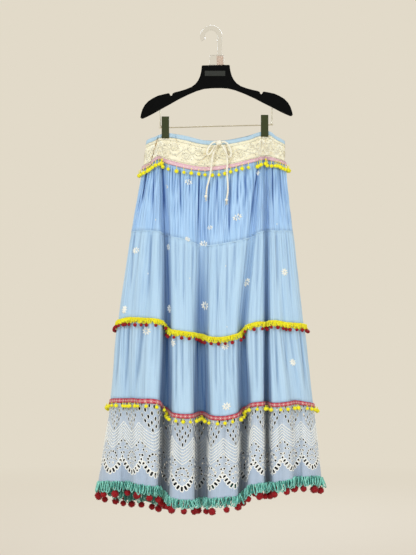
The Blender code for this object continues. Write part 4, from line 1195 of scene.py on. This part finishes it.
flowerSizes = dict(petals=8, reach=6.2, heart=0.42, dot=0.5, lift=0.75, heartLift=0.85)
petalSizes = dict(Length=9.4, Width=4.4, Height=1.0)
flowers = {
    "front": ((-56, -379, 0.75), (-109, -392, 0.5), (118, -357, 0.65), (65, -468, 0.85), (-3, -493, 0.55),
              (-58, -522, 0.6), (-18, -534, 0.95), (-105, -541, 0.75), (-187, -551, 0.85), (182, -606, 0.9),
              (88, -629, 1.0), (-102, -694, 1.0), (-14, -686, 1.1), (-215, -697, 1.0), (-159, -750, 1.0),
              (-93, -777, 0.9), (35, -788, 0.9), (202, -829, 0.9), (38, -935, 1.0)),
    "back": ((-132, -392, 0.9), (60, -402, 1.0), (-20, -430, 1.0), (150, -470, 0.9), (-90, -560, 1.0),
             (-170, -600, 1.0), (20, -590, 1.0), (100, -640, 1.0), (-40, -690, 1.0), (190, -690, 1.0),
             (-130, -800, 1.0), (-200, -860, 1.0), (10, -830, 1.0), (80, -900, 1.0), (180, -850, 1.0)),
}
dots = {
    "front": ((-137, -475), (163, -486), (-156, -609), (36, -587), (-52, -618), (39, -737)),
    "back": ((-60, -480), (90, -520), (-10, -640), (140, -760), (-160, -700)),
}


def clothAt(half, x, z, across, down, out):  # the cloth at a flat distance right of and below a spot
    place, level = spotAt(half, x, z)
    place = place + across / ringLength(half, level)
    low, high = int(level) + 0.003, int(level) + 0.997
    level = level + down / tierHeight[min(int(level), 4)]
    return clothFrame(half, np.clip(place, 0, 1), np.clip(level, low, high), out)


lift = flowerSizes["lift"]
for half in halves:
    spots = []
    for x, z, size in flowers[half]:
        away = flowerSizes["reach"] * size
        for petal in range(flowerSizes["petals"]):
            angle = 2 * math.pi * (petal + 0.25) / flowerSizes["petals"]
            spots.append((x, z, away * math.cos(angle), away * math.sin(angle), lift, angle, size))
        spots.append((x, z, 0, 0, flowerSizes["heartLift"], 0.0, flowerSizes["heart"]))
    for x, z in dots[half]:
        spots.append((x, z, 0, 0, lift, math.pi / 2, flowerSizes["dot"]))
    points, ways, faces = [], [], []
    for *spot, angle, size in spots:
        point, along, fall, facing = clothAt(half, *spot)
        points.append(point)
        ways.append(along * math.cos(angle) + fall * math.sin(angle))
        faces.append(facing)
    mesh = pointMesh(points, dict(along=ways, facing=faces), dict(size=[spot[-1] for spot in spots]))
    runTree("flowers_" + half, petalTree, mesh, flowerThread, "tier", petalSizes)
print("flowers embroidered")


# Lace waistband

def makeLace():
    made, graph = newMaterial("laceCloth", Roughness=0.9, Sheen_Weight=0.2)
    along, up = graph.flat()
    spot = graph.vector(along, up)
    net = graph.add("ShaderNodeTexVoronoi", {"feature": "DISTANCE_TO_EDGE"}, {"Vector": spot, "Scale": 300.0})
    motif = graph.add("ShaderNodeTexVoronoi", {"feature": "SMOOTH_F1"}, {"Vector": spot, "Scale": 95.0})
    patch = graph.noise(along * 160.0, up * 160.0, 3.0)
    cords = (1.0 - (net * 9.0).clamp()) * ((patch - 0.47) * 7.0).clamp()
    hole = ((net - 0.2) * 7.0).clamp() * ((patch - 0.4) * 6.0).clamp()
    light = graph.blend(((motif - 0.3) * 1.5).clamp(), tone(252, 245, 216), tone(240, 230, 194))
    speck = graph.blend(hole * 0.85, light, tone(128, 124, 108))
    # painted shade in the lace's gather and crease valleys and in its folds, in tan
    crease = (graph.painted("valley") * 0.75 + graph.painted("fold") * 0.25).clamp()
    graph.feed("Base Color", graph.blend(crease, speck, tone(196, 160, 104)))
    graph.feedBump(cords * 0.4 - hole * 0.9 - motif * 0.9, 0.0009)
    return made


laceCloth = makeLace()
# tan thread for the painted shadows under the lace's scrolls
tanShadowThread = makeThread("tanShadowThread", tone(206, 190, 150), tone(170, 156, 124))
for half in halves:
    clothPanel(
        "lace", half, 9.8 / tierHeight[0], 1 - (seamTuck + 0.4) / tierHeight[0], 400, 14, 1.2, laceCloth,
        "lace", "lace_waistband")

# The lace's vine, its rings and its leaves, in millimetres below and beside the band's middle.
laceSizes = dict(repeats=10, middle=0.52, wave=9.0, double=1.6, deepWave=14.0, edges=(-21.5, 20.0), ring=6.4,
                 curl=4.4, apart=6.5, leaves=6, leafReach=(10.5, 9.5), lift=0.75, leafLift=0.7, length=2.7,
                 thread=1.3, slant=0.5)
# sizes of the painted shadow lines: longer, thinner stitches, this far below the scrolls
laceShadowLine = dict(laceSizes, length=3.6, thread=1.0, below=1.3)
laceLeaf = dict(Length=5.6, Width=2.4, Height=0.6)


def laceLevel(downs):
    return np.clip(laceSizes["middle"] + np.array(downs) / tierHeight[0], 0.17, 0.86)


def laceLines(half):
    ring = ringLength(half, 0.5)
    lines, leafSpots = [], []

    def lay(shares, downs):
        lines.append(drape(half, np.clip(shares, 0.004, 0.996), laceLevel(downs), laceSizes["lift"]))

    share = np.linspace(0.005, 0.995, 500)
    phase = share * laceSizes["repeats"] * 2 * math.pi
    wave = laceSizes["wave"] * np.sin(phase)
    for downs in (wave, wave + laceSizes["double"], -laceSizes["deepWave"] * np.sin(phase) ** 3 - 2.0):
        lay(share, downs)
    for edge in laceSizes["edges"]:
        lay(share, edge + 1.1 * np.abs(np.sin(phase * 6)))
    turn = np.linspace(0, 2 * math.pi, 26)
    spiral = np.linspace(0.4, 2.3 * math.pi, 22)
    for index in range(2 * laceSizes["repeats"]):
        middle = (index / 2 + 0.25) / laceSizes["repeats"]
        upper = index % 2 == 0
        down = -laceSizes["apart"] if upper else laceSizes["apart"]
        for size, way in ((laceSizes["ring"], turn), (laceSizes["curl"] * spiral / spiral[-1], spiral)):
            lay(middle + size * np.cos(way) / ring, down + size * np.sin(way))
        wide, tall = laceSizes["leafReach"]
        for leaf in range(laceSizes["leaves"]):
            angle = math.pi * (0.1 + 0.16 * leaf + upper)
            leafSpots.append((middle + wide * math.cos(angle) / ring, down + tall * math.sin(angle), angle))
    return lines, np.array(leafSpots)


for half in halves:
    lines, leafSpots = laceLines(half)
    stitchLines("laceScrolls_" + half, lines, laceSizes, creamThread, "lace")
    # a tan copy of every scroll line, set lower: a painted shadow under the raised scrolls
    under = [line - np.array([0, 0, laceShadowLine["below"]]) for line in lines]
    stitchLines("laceShadowLines_" + half, under, laceShadowLine, tanShadowThread, "lace")
    turns = leafSpots[:, 2:]
    point, along, fall, facing = clothFrame(half, np.clip(leafSpots[:, 0], 0.01, 0.99),
                                            laceLevel(leafSpots[:, 1]), laceSizes["leafLift"])
    mesh = pointMesh(point, dict(along=along * np.cos(turns) + fall * np.sin(turns), facing=facing),
                     dict(size=np.ones(len(point))))
    runTree("laceLeaves_" + half, petalTree, mesh, creamThread, "lace", laceLeaf)
print("lace worked")


# Drawstring

cordFront = 25.0
cordSize = dict(diameter=4.6, strands=3, twist=9.0, ridge=0.13, sides=14, step=0.9)
# Each point of a route: x, how far it lies behind the cord's plane (less than 0 is in front), z.
tailRoutes = {
    "left": ((14.5, 0, -289), (12, -2, -293), (9, -4, -300), (6, -6, -310), (3, -8, -322), (1.5, -11, -336),
             (0, -15.5, -350), (-2.5, -16, -364), (-6, -16, -380), (-10, -16, -395), (-12, -16, -412)),
    "right": ((26, 0, -289), (31, -2, -292), (36, -4, -299), (38.5, -6, -309), (40, -8, -322),
              (40.5, -12, -336), (39.5, -15.5, -350), (40, -16, -366), (41.5, -16, -386), (41.5, -16, -405),
              (39, -16, -421)),
}
loopRoutes = {
    "left": ((11.8, -1, -281), (6, -4, -282), (-1, -5, -288), (-8, -5, -299), (-10, -5, -308),
             (-6.5, -6, -312.5), (-1, -7, -309), (4.5, -8, -300), (9, -8.5, -292.5), (10.5, -8, -290)),
    "right": ((27.2, -1, -281), (34, -4, -281), (42, -5, -287), (48, -5, -298), (50, -5, -311),
              (47, -8, -318.5), (41, -13, -316), (36, -14, -305), (31, -12, -295), (28, -9, -290)),
}


def smoothRoute(route, spacing):  # even points on one smooth curve through the route, and its length
    route = [Vector(point) for point in route]
    fine = []
    for index, (start, end) in enumerate(zip(route, route[1:])):
        before = route[max(index - 1, 0)]
        after = route[min(index + 2, len(route) - 1)]
        for step in range(12):
            fine.append(eased(step / 12, start, end, (end - before) / 2, (after - start) / 2))
    table = np.array([tuple(point) for point in [*fine, route[-1]]])
    lengths = np.concatenate(([0.0], np.cumsum(np.linalg.norm(np.diff(table, axis=0), axis=1))))
    count = max(2, round(lengths[-1] / spacing))
    targets = np.linspace(0, lengths[-1], count + 1)
    return np.stack([np.interp(targets, lengths, column) for column in table.T], axis=1), float(lengths[-1])


def sweptTube(name, line, radius, sides, material, strands=0, ridge=0.0, twist=1.0):
    tangents = unit(np.gradient(line, axis=0))
    side = unit(np.cross(tangents[0], np.array([0.3, 0.2, 1.0])))
    points, flat, travelled = [], [], 0.0
    for index, (spot, tangent) in enumerate(zip(line, tangents)):
        side = unit(side - tangent * (side @ tangent))
        other = np.cross(tangent, side)
        if index:
            travelled += float(np.linalg.norm(spot - line[index - 1]))
        for corner in range(sides):
            turn = 2 * math.pi * corner / sides
            lobe = abs(math.cos(strands * (turn - 2 * math.pi * travelled / twist) / 2))
            reach = radius * (1 - ridge + ridge * 2 * (lobe - 0.36))
            points.append(spot + reach * (side * math.cos(turn) + other * math.sin(turn)))
            flat.append((travelled, turn * radius))
    return addMesh(name, points, tubeFaces(len(line), sides), material, flat)


cordThread = makeThread("cordThread", tone(255, 251, 234), tone(226, 213, 182), 1300.0)
knotSizes = dict(rows=22, sides=26, wound=0.1, waistMiddle=(19.5, -23.2, -283), waistSize=(8.0, 6.8, 6.8),
                 tailSize=(4.1, 4.1, 4.3), tailDrop=4.7)


def wrappedKnot(name, middle, size, turns, replaced):  # a knot as a ball wound from cord
    rows, sides, wound = knotSizes["rows"], knotSizes["sides"], knotSizes["wound"]
    points = []
    for row in range(rows + 1):
        polar = math.pi * (0.02 + 0.96 * row / rows)
        for side in range(sides):
            turn = 2 * math.pi * side / sides
            swell = 1 - wound + wound * abs(math.sin(turns * polar + turn + 0.6 * math.sin(2 * turn)))
            way = (math.sin(polar) * math.cos(turn), math.sin(polar) * math.sin(turn), math.cos(polar))
            points.append(np.array(middle) + np.array(size) * swell * np.array(way))
    return finished(addMesh(name, points, tubeFaces(rows + 1, sides), cordThread), replaced)


knotPiece = wrappedKnot("waistKnot", knotSizes["waistMiddle"], knotSizes["waistSize"], 3, "drawstring_knot")


def makeCord(kind, side, route):
    line, length = smoothRoute(route, cordSize["step"])
    piece = sweptTube("cord_" + kind + "_" + side, line, cordSize["diameter"] / 2, cordSize["sides"],
                      cordThread, cordSize["strands"], cordSize["ridge"], cordSize["twist"])
    finished(piece, "drawstring_" + kind + "_" + side)
    tuple(line[0] * 0.001)
    [tuple(point * 0.001) for point in line]


tuftSizes = dict(threads=13, spread=3.4, fall=9.5, below=3.2, length=1.6, thread=0.8, slant=0.0)


def frayedEnd(name, top):  # loose threads below an end knot
    lines = []
    for index in range(tuftSizes["threads"]):
        angle = index * 2.4
        reach = tuftSizes["spread"] * math.sqrt((index + 0.5) / tuftSizes["threads"])
        long = tuftSizes["fall"] * (0.72 + 0.28 * math.sin(index * 5.1))
        share = np.linspace(0, 1, 4)
        away = reach * (0.35 + 0.65 * share ** 1.5)
        lines.append(top + np.stack([away * math.cos(angle), away * math.sin(angle), -long * share], axis=1))
    stitchLines(name, lines, tuftSizes, cordThread, "cord")


for side, route in tailRoutes.items():
    placed = np.array(route) - (0, cordFront, 0)
    middle = placed[-1] + unit(placed[-1] - placed[-2]) * knotSizes["tailDrop"]
    knot = wrappedKnot("tailKnot_" + side, middle, knotSizes["tailSize"], 2, "drawstring_end_" + side)
    makeCord("tail", side, placed)
    frayedEnd("frayedEnd_" + side, middle - np.array([0, 0, tuftSizes["below"]]))
for side, route in loopRoutes.items():
    makeCord("loop", side, np.array(route) - (0, cordFront, 0))
print("drawstring tied")


# Hanger

def softMaterial(name, base, deep, rough, scale, depth, **fixed):
    made, graph = newMaterial(name, **fixed)
    grain = graph.objectNoise(scale, 4.0)
    broad = graph.objectNoise(scale / 14)
    worn = ((grain - 0.4) * 1.6 + (broad - 0.5) * 0.6).clamp()
    graph.feed("Base Color", graph.blend(worn, base, deep))
    graph.feed("Roughness", (broad - 0.5) * 0.25 + rough)
    graph.feedBump(grain, depth, 0.6)
    return made


flocking = softMaterial("blackFlocking", tone(5, 5, 5), tone(14, 14, 14), 0.95, 1500.0, 0.0003,
                        Specular_IOR_Level=0.12)
railMetal = softMaterial("railMetal", tone(214, 206, 184), tone(178, 166, 140), 0.3, 900.0, 0.0001,
                         Metallic=1.0)
clipMetal = softMaterial("clipMetal", tone(50, 56, 14), tone(38, 44, 10), 0.55, 500.0, 0.0002,
                         Specular_IOR_Level=0.3)
plateMetal = softMaterial("plateMetal", tone(40, 42, 36), tone(30, 32, 27), 0.45, 900.0, 0.0001,
                          Specular_IOR_Level=0.3)
insertPlastic = softMaterial("insertPlastic", tone(252, 232, 224), tone(246, 222, 212), 0.3, 700.0, 0.0001,
                             Transmission_Weight=0.9, IOR=1.3)
acrylic, acrylicGraph = newMaterial("clearAcrylic", IOR=1.49, Transmission_Weight=1.0,
                                    Base_Color=(0.9, 0.9, 0.89, 1))
acrylicGraph.feed("Roughness", acrylicGraph.objectNoise(90.0) * 0.02)


hangerSizes = dict(middle=(11.7, -87), tilt=1.0, thick=12, bevel=2.8)
# The right half of the body's outline: across and down from the middle of its top.
hangerRight = ((35, 0), (35.6, 8), (37, 17), (40, 28), (45, 38), (52, 46.5), (62, 53.5), (76, 59), (91, 63.3),
               (103, 66), (108.5, 68.5), (110.5, 73.5), (112.5, 75.6), (114.5, 73.5), (116.5, 69.3),
               (119.5, 68), (132, 70.5), (145, 73.5), (158, 79.5), (170, 87), (179, 96.5), (185, 107),
               (188.6, 118), (190.4, 127), (188, 130.2), (184, 130), (174, 125.8), (160, 119), (140, 108),
               (118, 96.6), (95, 84), (70, 72.2), (48, 63.4), (30, 58.6), (14, 57.2))


def slab(name, near, far, material, bevel, segments, slot, node="", angle=30):  # a solid between two faces
    count = len(near)
    faces = [tuple(reversed(range(count))), tuple(range(count, 2 * count))]
    faces += [(i, (i + 1) % count, count + (i + 1) % count, count + i) for i in range(count)]
    piece = addMesh(name, [*near, *far], faces, material, smooth=False)
    soften = piece.modifiers.new("soft edges", "BEVEL")
    soften.width = bevel * 0.001
    soften.segments = segments
    soften.limit_method = "ANGLE"
    soften.angle_limit = math.radians(angle)
    finished(piece, node)


def facingSlab(name, outline, front, back, material, **sizes):  # the same, by its outline from the front
    near, far = ([(x, y, z) for x, z in outline] for y in (front, back))
    slab(name, near, far, material, **sizes)


outline = [*hangerRight, (0, 57), *((-across, down) for across, down in reversed(hangerRight))]
c, s = math.cos(math.radians(hangerSizes["tilt"])), math.sin(math.radians(hangerSizes["tilt"]))
middleX, middleZ = hangerSizes["middle"]
outline = [(middleX + across * c + down * s, middleZ - down * c + across * s) for across, down in outline]
facingSlab("hangerBody", outline, -hangerSizes["thick"] / 2, hangerSizes["thick"] / 2, flocking,
           bevel=hangerSizes["bevel"], segments=4, slot="black_flocking", node="hanger_body", angle=50)

hookSizes = dict(radius=21.5, band=(13, 8), centreZ=-15, corner=1.6, collarX=(-4, 33), collarTop=-61.5,
                 collarFoot=-86.2, collarDepth=14, chamfer=1.5)


def makeHook():  # a flat band: middle, way across, half width and half depth of each section
    radius, corner = hookSizes["radius"], hookSizes["corner"]
    band = (hookSizes["band"][0] / 2, hookSizes["band"][1] / 2)
    path = []
    for angle in np.radians(np.linspace(205, 0, 44)):
        c, s = math.cos(angle), math.sin(angle)
        path.append((radius * c, hookSizes["centreZ"] + radius * s, c, s, *band))
    path += [(radius, z, 1, 0, *band) for z in (-40, -58, -60.5)]
    low, high = hookSizes["collarX"]
    middle, half, depth = (low + high) / 2, (high - low) / 2, hookSizes["collarDepth"] / 2
    top, chamfer = hookSizes["collarTop"], hookSizes["chamfer"]
    path += [(middle, top, 1, 0, half - chamfer, depth - chamfer), (middle, top - chamfer, 1, 0, half, depth),
             (middle, hookSizes["collarFoot"], 1, 0, half, depth)]
    points = []
    for x, z, nx, nz, wide, deep in path:
        for across, out in ((-1, -1), (1, -1), (1, 1), (-1, 1)):
            for turn in np.linspace(0, math.pi / 2, 4):
                a, b = 1 - math.sin(turn), 1 - math.cos(turn)
                if across * out < 0:
                    a, b = b, a
                size = across * (wide - corner * a)
                points.append((x + nx * size, out * (deep - corner * b), z + nz * size))
    piece = addMesh("clearHook", points, tubeFaces(len(path), 16), acrylic, smooth=False)
    finished(piece, "hook")


railSizes = dict(wire=2.8, left=(-127, -198.6), right=(152.5, -193.6), barLeft=-243, barRight=-236)


def makeRail():  # a thin bar with both ends bent up into the body
    (leftX, leftTop), (rightX, rightTop) = railSizes["left"], railSizes["right"]
    left, right = railSizes["barLeft"], railSizes["barRight"]
    route = [(leftX, leftTop), (leftX, leftTop - 20), (leftX, left + 8), (leftX + 2.5, left + 2.5),
             (leftX + 8, left), (12, (left + right) / 2), (rightX - 8, right), (rightX - 2.5, right + 2.5),
             (rightX, right + 8), (rightX, rightTop - 20), (rightX, rightTop)]
    line = smoothRoute([(x, 0, z) for x, z in route], 2.0)[0]
    finished(sweptTube("railWire", line, railSizes["wire"] / 2, 14, railMetal), "hanger_rail")


clipSizes = dict(width=18.5, jawGap=4.5, bevel=0.5)
clips = dict(left=dict(x=-114, top=-215, foot=-270), right=dict(x=134, top=-211, foot=-266))


def makeClip(side, x, top, foot):  # one folded strip over the bar, its jaws open downwards
    leftX, rightX = railSizes["left"][0] + 8, railSizes["right"][0] - 8
    share = (x - leftX) / (rightX - leftX)
    bar = railSizes["barLeft"] + share * (railSizes["barRight"] - railSizes["barLeft"])
    gap = clipSizes["jawGap"]
    profile = [(-2.4, top), (-3.9, top - 0.6), (-4.8, top - 2.2), (-5.2, top - 5), (-5.2, bar),
               (-5.7, bar - 6), (-6.5, foot + 9), (-6.6, foot + 3), (-6.2, foot + 0.4), (-gap, foot),
               (-gap, bar - 5), (-2.2, bar - 2), (-2.2, bar + railSizes["wire"] / 2 + 0.9)]
    profile += [(-y, z) for y, z in reversed(profile)]
    near, far = ([(x + way * clipSizes["width"] / 2, y, z) for y, z in profile] for way in (-1, 1))
    slab("clipFold_" + side, near, far, clipMetal, bevel=clipSizes["bevel"], segments=2, slot="clip_metal",
         node="clip_" + side)


makeHook()
makeRail()
for side, sizes in clips.items():
    makeClip(side, **sizes)
facingSlab("barePlate", ((-15.5, -114.5), (35.5, -114.5), (35.5, -101.5), (-15.5, -101.5)), -6.7, -6.05,
           plateMetal, bevel=0.5, segments=3, slot="black_flocking")
facingSlab("hookInsert", ((14, -85.8), (31, -85.8), (31, -64), (14, -64)), -2.6, 2.6, insertPlastic,
           bevel=0.8, segments=3, slot="clear_acrylic")
print("hanger made")
# Floor, room light and lamps

roomTone = tone(226, 218, 201)
floorSizes = dict(radius=40, height=-1.55, fadeStart=1.0, fadeSpan=3.0)  # metres


def makeFloor():  # pale, and fading into the room's light further out
    made, graph = newMaterial("paleFloor", Roughness=0.9)
    grain = graph.objectNoise(3.0, 3.0)
    graph.feed("Base Color", graph.blend(grain * 0.25, (0.71, 0.65, 0.57, 1), (0.66, 0.6, 0.52, 1)))
    glow = graph.add("ShaderNodeEmission", {}, {"Color": roomTone, "Strength": 1.0})
    spot = graph.add("ShaderNodeTexCoord", {}, {}, "Object")
    away = graph.add("ShaderNodeVectorMath", {"operation": "LENGTH"}, {0: spot}, "Value")
    fade = ((away - floorSizes["fadeStart"]) / floorSizes["fadeSpan"]).clamp()
    near = Wire(graph, graph.tree.nodes["Principled BSDF"].outputs[0])
    mixed = graph.add("ShaderNodeMixShader", {}, {0: fade, 1: near, 2: glow})
    graph.tree.links.new(mixed.socket, graph.tree.nodes["Material Output"].inputs["Surface"])
    bpy.ops.mesh.primitive_circle_add(vertices=96, radius=floorSizes["radius"], fill_type="NGON",
                                      location=(0, 0, floorSizes["height"]))
    floor = bpy.context.object
    floor.name = "floor"
    floor.data.materials.append(made)


makeFloor()
world = bpy.data.worlds.new("room")
world.use_nodes = True
world.node_tree.nodes["Background"].inputs["Color"].default_value = roomTone
world.node_tree.nodes["Background"].inputs["Strength"].default_value = 1.0
scene.world = world
lamps = {
    "keyLamp": dict(place=(-1.6, -3.0, 1.0), size=1.6, power=52, tint=(0.68, 0.82, 1.0)),
    "fillLamp": dict(place=(2.2, -2.6, -0.2), size=2.0, power=26, tint=(0.66, 0.8, 1.0)),
    "backLamp": dict(place=(0.6, 3.0, 0.8), size=1.8, power=44, tint=(0.7, 0.82, 1.0)),
}
for name, sizes in lamps.items():
    lamp = bpy.data.lights.new(name, "AREA")
    lamp.energy = sizes["power"]
    lamp.size = sizes["size"]
    lamp.color = sizes["tint"]
    holder = bpy.data.objects.new(name, lamp)
    holder.location = sizes["place"]
    holder.rotation_euler = (Vector((0, 0, -0.62)) - holder.location).to_track_quat("-Z", "Y").to_euler()
    holder.visible_transmission = False
    scene.collection.objects.link(holder)
print("room lit")

print("scene finished")
